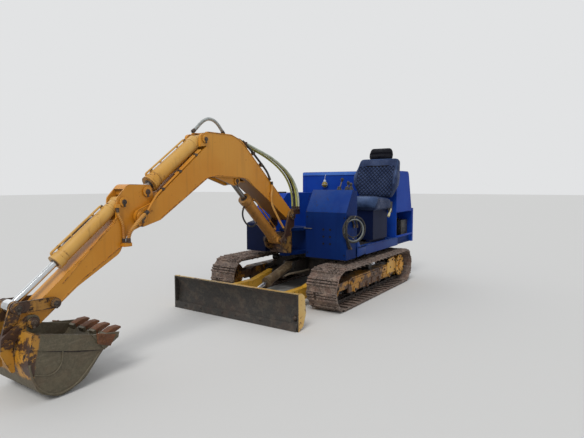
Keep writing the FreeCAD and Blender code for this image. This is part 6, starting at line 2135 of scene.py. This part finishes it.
@dataclass
class BoomDress:
    """Weld seams and hose clips on the boom, and weld seams on the arm."""

    half: float = 90.0

    def boom(self) -> None:
        """Seams along the boom's edges and the clips for its pipes."""
        beads = start_mesh()
        back = ((880, 1064), (1180, 1312), (1440, 1528), (1530, 1580), (1600, 1599), (1880, 1598))
        belly = ((940, 942), (1278, 1142), (1400, 1226), (1545, 1242), (1790, 1249), (1900, 1228), (2360, 940))
        for side in (-1, 1):
            y = side * (self.half + 0.5)
            add_bead(beads, [at(x, y, z - 6) for x, z in back], 0.003, 7)
            add_bead(beads, [at(x, y, z + 6) for x, z in belly], 0.003, 8)
        make_piece("boom_seams", beads, Finishes.ochre, Body.BOOM)
        clips = start_mesh()
        for share in (0.12, 0.5, 0.88):
            x = 1953 + (2386 - 1953) * share
            z = 1449 - (1449 - 1108) * share
            add_box(clips, at(x - 12, 62, z - 10), at(x + 12, 90, z + 11), 0.003)
            add_bolt(clips, at(x, 67, z + 10), Vector((0.3, 0, 1)), 0.005)
        for x, z in ((1400, 1540), (1290, 1462), (1180, 1362)):
            add_box(clips, at(x - 10, 52, z - 18), at(x + 10, 88, z + 14), 0.003)
        make_piece("boom_clips", clips, Finishes.fastener, Body.BOOM)

    def arm(self) -> None:
        """Seams along the arm's edges."""
        beads = start_mesh()
        top = ((2700, 968), (3080, 598))
        low = ((2620, 800), (2990, 575), (3180, 420))
        for side in (-1, 1):
            y = side * 60.5
            add_bead(beads, [at(x, y, z) for x, z in top], 0.003, 9)
            add_bead(beads, [at(x, y, z + 6) for x, z in low], 0.003, 10)
        make_piece("arm_seams", beads, Finishes.ochre, Body.ARM)

    def build(self) -> None:
        """Builds the dressings."""
        self.boom()
        self.arm()


@dataclass
class BucketDress:
    """The bucket's raised arc, dark groove, weld seams, side cutters and the teeth's points."""

    half: float = 220.0
    lip: Place = (2868.0, 0.0, 262.0)
    lip_way: tuple[float, float] = (-0.96, 0.28)

    def build(self) -> None:
        """Builds the beads, grooves, cutters and their bolts on both sides."""
        arcs = start_mesh()
        beads = start_mesh()
        grooves = start_mesh()
        cutters = start_mesh()
        bolts = start_mesh()
        arc = ((3186, 262), (3184, 214), (3204, 168), (3242, 142), (3290, 150), (3344, 172))
        rim = ((3366, 235), (3360, 160), (3318, 84), (3262, 36), (3205, 19), (3130, 32), (3064, 70), (2960, 180))
        groove = ((3330, 306), (3230, 268), (3120, 232), (3010, 204), (2926, 190))
        cutter = ((2862, 266), (2990, 306), (2985, 240), (2902, 205))
        for side in (-1, 1):
            y = side * self.half
            add_tube(arcs, [at(x, y + side * 1.5, z) for x, z in arc], 0.005, 3)
            add_tube(arcs, [at(x, y + side * 1.0, z) for x, z in rim], 0.006, 3)
            add_bead(beads, [at(3342, y, 380), at(3120, y, 318), at(2990, y, 284)], 0.0035, 11)
            add_tube(grooves, [at(x, y, z) for x, z in groove], 0.0042, 2)
            found = SURFACES.side("bucket", 2930, 258, side)
            skin = y if found is None else found.y / SCALE
            add_plate(cutters, [at(x, skin - side, z) for x, z in cutter], Vector((0, side * 0.008, 0)), 0.0015)
            for x, z in ((2952, 284), (2948, 246)):
                add_bolt(bolts, at(x, skin + side * 7, z), Vector((0, side, 0)), 0.009)
        make_piece("bucket_arcs", arcs, Finishes.bucket, Body.BUCKET)
        make_piece("bucket_seams", beads, Finishes.bucket, Body.BUCKET)
        make_piece("bucket_grooves", grooves, Finishes.chain, Body.BUCKET)
        make_piece("bucket_cutters", cutters, Finishes.cutter, Body.BUCKET)
        make_piece("cutter_bolts", bolts, Finishes.cutter, Body.BUCKET)
        self.tips()

    def tips(self) -> None:
        """The rusty points slipped over the teeth."""
        points = start_mesh()
        way = Vector((self.lip_way[0], 0, self.lip_way[1]))
        over = Vector((way.z, 0, -way.x))
        lip = at(*self.lip)
        for y in (-168, -56, 56, 168):
            corners = [
                lip + (way * along + over * rise) * SCALE + Vector((0, (y - 28) * SCALE, 0))
                for along, rise in ((-22, -11.5), (80, -4), (80, 8), (30, 24.5), (-22, 21))
            ]
            add_plate(points, corners, Vector((0, 0.056, 0)), 0.0025)
        make_piece("tooth_points", points, Finishes.cutter, Body.BUCKET)


@dataclass
class BladeDress:
    """Bolts on the blade's cutting edge and a round knob on its board."""

    face_x: float = 1554.5

    def build(self) -> None:
        """Builds the bolts and the knob."""
        holes = start_mesh()
        for y in (-560, -358, -95, 61, 330):
            spot = SURFACES.meet("blade_edge", at(1800, y, 36), Vector((-1, 0, 0)))
            if spot is not None:
                add_rod(holes, spot, spot + Vector((0.004, 0, 0)), 0.013, 0.008, sides=20, bevel=0.001)
        make_piece("blade_edge_bolts", holes, Finishes.chain, Body.BLADE)
        knob = start_mesh()
        spot = SURFACES.meet("blade_board", at(1800, 664, 98), Vector((-1, 0, 0)))
        if spot is not None:
            place = Matrix.Translation(spot + Vector((0.004, 0, 0)))
            bmesh.ops.create_uvsphere(knob, u_segments=32, v_segments=20, radius=0.025, matrix=place)
        make_piece("blade_ball", knob, Finishes.fastener, Body.BLADE)


def dress_nodes() -> None:
    """Gives every CAD node that stays its finish."""
    plan = {
        Finishes.ochre: ("boom", "arm", "boom_pipes"),
        Finishes.barrel: ("arm_cylinder", "bucket_cylinder"),
        Finishes.boom_ram: ("boom_cylinder",),
        Finishes.linkage: ("push_link", "tipping_link"),
        Finishes.frame_yellow: ("track_frame_left", "track_frame_right", "idlers"),
        Finishes.drive_yellow: ("sprockets",),
        Finishes.arm_yellow: ("blade_arms",),
        Finishes.post: ("swing_post",),
        Finishes.blue: ("hood", "rear_door", "counterweight", "side_tank"),
        # The console, deck, front box and seat base take darker copies of the body blue as painted shade.
        Finishes.blue_painted_shade: ("console", "deck"),
        Finishes.blue_deep_painted_shade: ("front_box", "seat_base"),
        Finishes.blue_floor: ("floor_plate",),
        Finishes.bucket_side: ("bucket",),
        Finishes.blade_steel: ("blade_edge",),
        Finishes.iron: ("centre_frame", "slew_ring", "drive_motors", "rollers", "engine"),
        Finishes.tan_iron: ("blade_cylinder",),
        Finishes.chrome: ("arm_rod", "bucket_rod", "blade_rod"),
        Finishes.bright_bolt: ("levers",),
        Finishes.dull_chrome: ("boom_rod",),
        Finishes.blade_face: ("blade_board",),
    }
    for finish, nodes in plan.items():
        for node in nodes:
            coat(node, finish)
            LOG.info("%s takes %s", node, finish.name)


@dataclass
class Studio:
    """The floor, the soft light and the camera at the photograph's angle."""

    camera_place: Place = (4536.5, 2662.0, 1172.0)
    heading: tuple[float, float] = (-0.831, -0.556)
    pitch: float = 4.19
    roll: float = -0.095
    lens: float = 28.14

    def floor(self) -> None:
        """A wide pale floor that keeps the object's shadow."""
        mesh = start_mesh()
        bmesh.ops.create_grid(mesh, x_segments=2, y_segments=2, size=60.0)
        data = bpy.data.meshes.new("floor")
        mesh.to_mesh(data)
        mesh.free()
        plane = bpy.data.objects.new("floor", data)
        bpy.context.scene.collection.objects.link(plane)
        material = bpy.data.materials.new("pale_floor")
        material.use_nodes = True
        wires = Wiring(material.node_tree)
        matt = wires.node("ShaderNodeBsdfDiffuse")
        matt.inputs["Color"].default_value = rgb(214, 212, 208)
        ending = wires.node("ShaderNodeOutputMaterial")
        wires.feed(ending.inputs["Surface"], matt.outputs["BSDF"])
        data.materials.append(material)

    def sky(self) -> None:
        """Even light from all round, and a pale backdrop that the camera, metal and glass see."""
        world = bpy.data.worlds.new("studio")
        bpy.context.scene.world = world
        world.use_nodes = True
        wires = Wiring(world.node_tree)
        soft = wires.node("ShaderNodeBackground")
        soft.inputs["Color"].default_value = rgb(236, 241, 248)
        soft.inputs["Strength"].default_value = 0.62
        seen = wires.node("ShaderNodeBackground")
        seen.inputs["Color"].default_value = rgb(226, 227, 228)
        seen.inputs["Strength"].default_value = 1.0
        path = wires.node("ShaderNodeLightPath")
        either = wires.maths("MAXIMUM", path.outputs["Is Camera Ray"], path.outputs["Is Transmission Ray"])
        either = wires.maths("MAXIMUM", either, path.outputs["Is Glossy Ray"])
        mixed = wires.node("ShaderNodeMixShader")
        wires.feed(mixed.inputs[0], either)
        wires.feed(mixed.inputs[1], soft.outputs[0])
        wires.feed(mixed.inputs[2], seen.outputs[0])
        ending = wires.node("ShaderNodeOutputWorld")
        wires.feed(ending.inputs["Surface"], mixed.outputs[0])

    def lamp(self, name: str, strength: float, way: Vector, angle: float) -> None:
        """Adds a broad sun lamp that shines along a direction."""
        light = bpy.data.lights.new(name, "SUN")
        light.energy = strength
        light.angle = math.radians(angle)
        thing = bpy.data.objects.new(name, light)
        thing.rotation_euler = way.to_track_quat("-Z", "Y").to_euler()
        bpy.context.scene.collection.objects.link(thing)

    def camera(self) -> None:
        """The camera, placed as the photograph was taken."""
        data = bpy.data.cameras.new("photo_camera")
        data.lens = self.lens
        data.sensor_width = 36.0
        data.clip_end = 200.0
        thing = bpy.data.objects.new("photo_camera", data)
        flat = math.cos(math.radians(self.pitch))
        way = Vector((self.heading[0] * flat, self.heading[1] * flat, -math.sin(math.radians(self.pitch))))
        turn = way.to_track_quat("-Z", "Y").to_matrix().to_4x4()
        tilt = Matrix.Rotation(math.radians(self.roll), 4, "Z")
        thing.matrix_world = Matrix.Translation(at(*self.camera_place)) @ turn @ tilt
        bpy.context.scene.collection.objects.link(thing)
        bpy.context.scene.camera = thing

    def build(self) -> None:
        """Builds the studio."""
        bpy.context.scene.view_settings.view_transform = "Standard"
        self.floor()
        self.sky()
        self.lamp("key", 1.5, Vector((-0.75, -0.25, -0.9)), 24.0)
        self.lamp("fill", 0.35, Vector((0.25, 0.8, -0.6)), 60.0)
        self.camera()


def main() -> None:
    """Builds the studio and every part of the machine, in order."""
    Studio().build()
    dress_nodes()
    HoseSet().build()
    for side, word in ((1, "left"), (-1, "right")):
        TrackChain(side, f"track_{word}").build()
        TrackGear(side, f"frame_{word}").build()
    BladeDress().build()
    House().build()
    Station().build()
    Seat().build()
    BoomDress().build()
    BucketDress().build()
    Ram("arm_ram", Body.ARM_BARREL, (1915, 1535), (2460, 1130), 56, 590, -10, Finishes.barrel, Slot.YELLOW).build()
    Ram("boom_ram", Body.BOOM_BARREL, (863, 632), (1512, 1212), 52, 640, 30, Finishes.boom_ram, Slot.YELLOW).build()
    Ram("bucket_ram", Body.BUCKET_BARREL, (2650, 1065), (3345, 512), 43, 560, -8, Finishes.barrel, Slot.YELLOW).build()
    yellow = Slot.YELLOW
    caps = (
        PinCaps("boom", Body.BOOM, "boom", Finishes.ochre, yellow, ((1915, 1535, 20), (1512, 1212, 20))),
        PinCaps("arm", Body.ARM, "arm", Finishes.ochre, yellow, ((2460, 1130, 22), (2650, 1065, 20))),
        PinCaps("arm_foot", Body.ARM, "arm", Finishes.post, yellow, ((3145, 500, 18),)),
        PinCaps("nose", Body.BOOM, "boom", Finishes.ochre, yellow, ((2530, 960, 26),)),
        PinCaps("post", Body.SWING, "swing_post", Finishes.post, yellow, ((730, 870, 24), (863, 632, 20))),
        PinCaps("tipping", Body.TIPPING_LINK, "tipping_link", Finishes.linkage, yellow, ((3345, 512, 20),)),
        PinCaps("push", Body.PUSH_LINK, "push_link", Finishes.linkage, yellow, ((3400, 330, 20),)),
        PinCaps("bucket", Body.BUCKET, "bucket", Finishes.linkage, yellow, ((3270, 415, 20),)),
    )
    for cap in caps:
        cap.build()


if __name__ == "__main__":
    logging.basicConfig(level=logging.INFO, format="%(message)s")
    main()
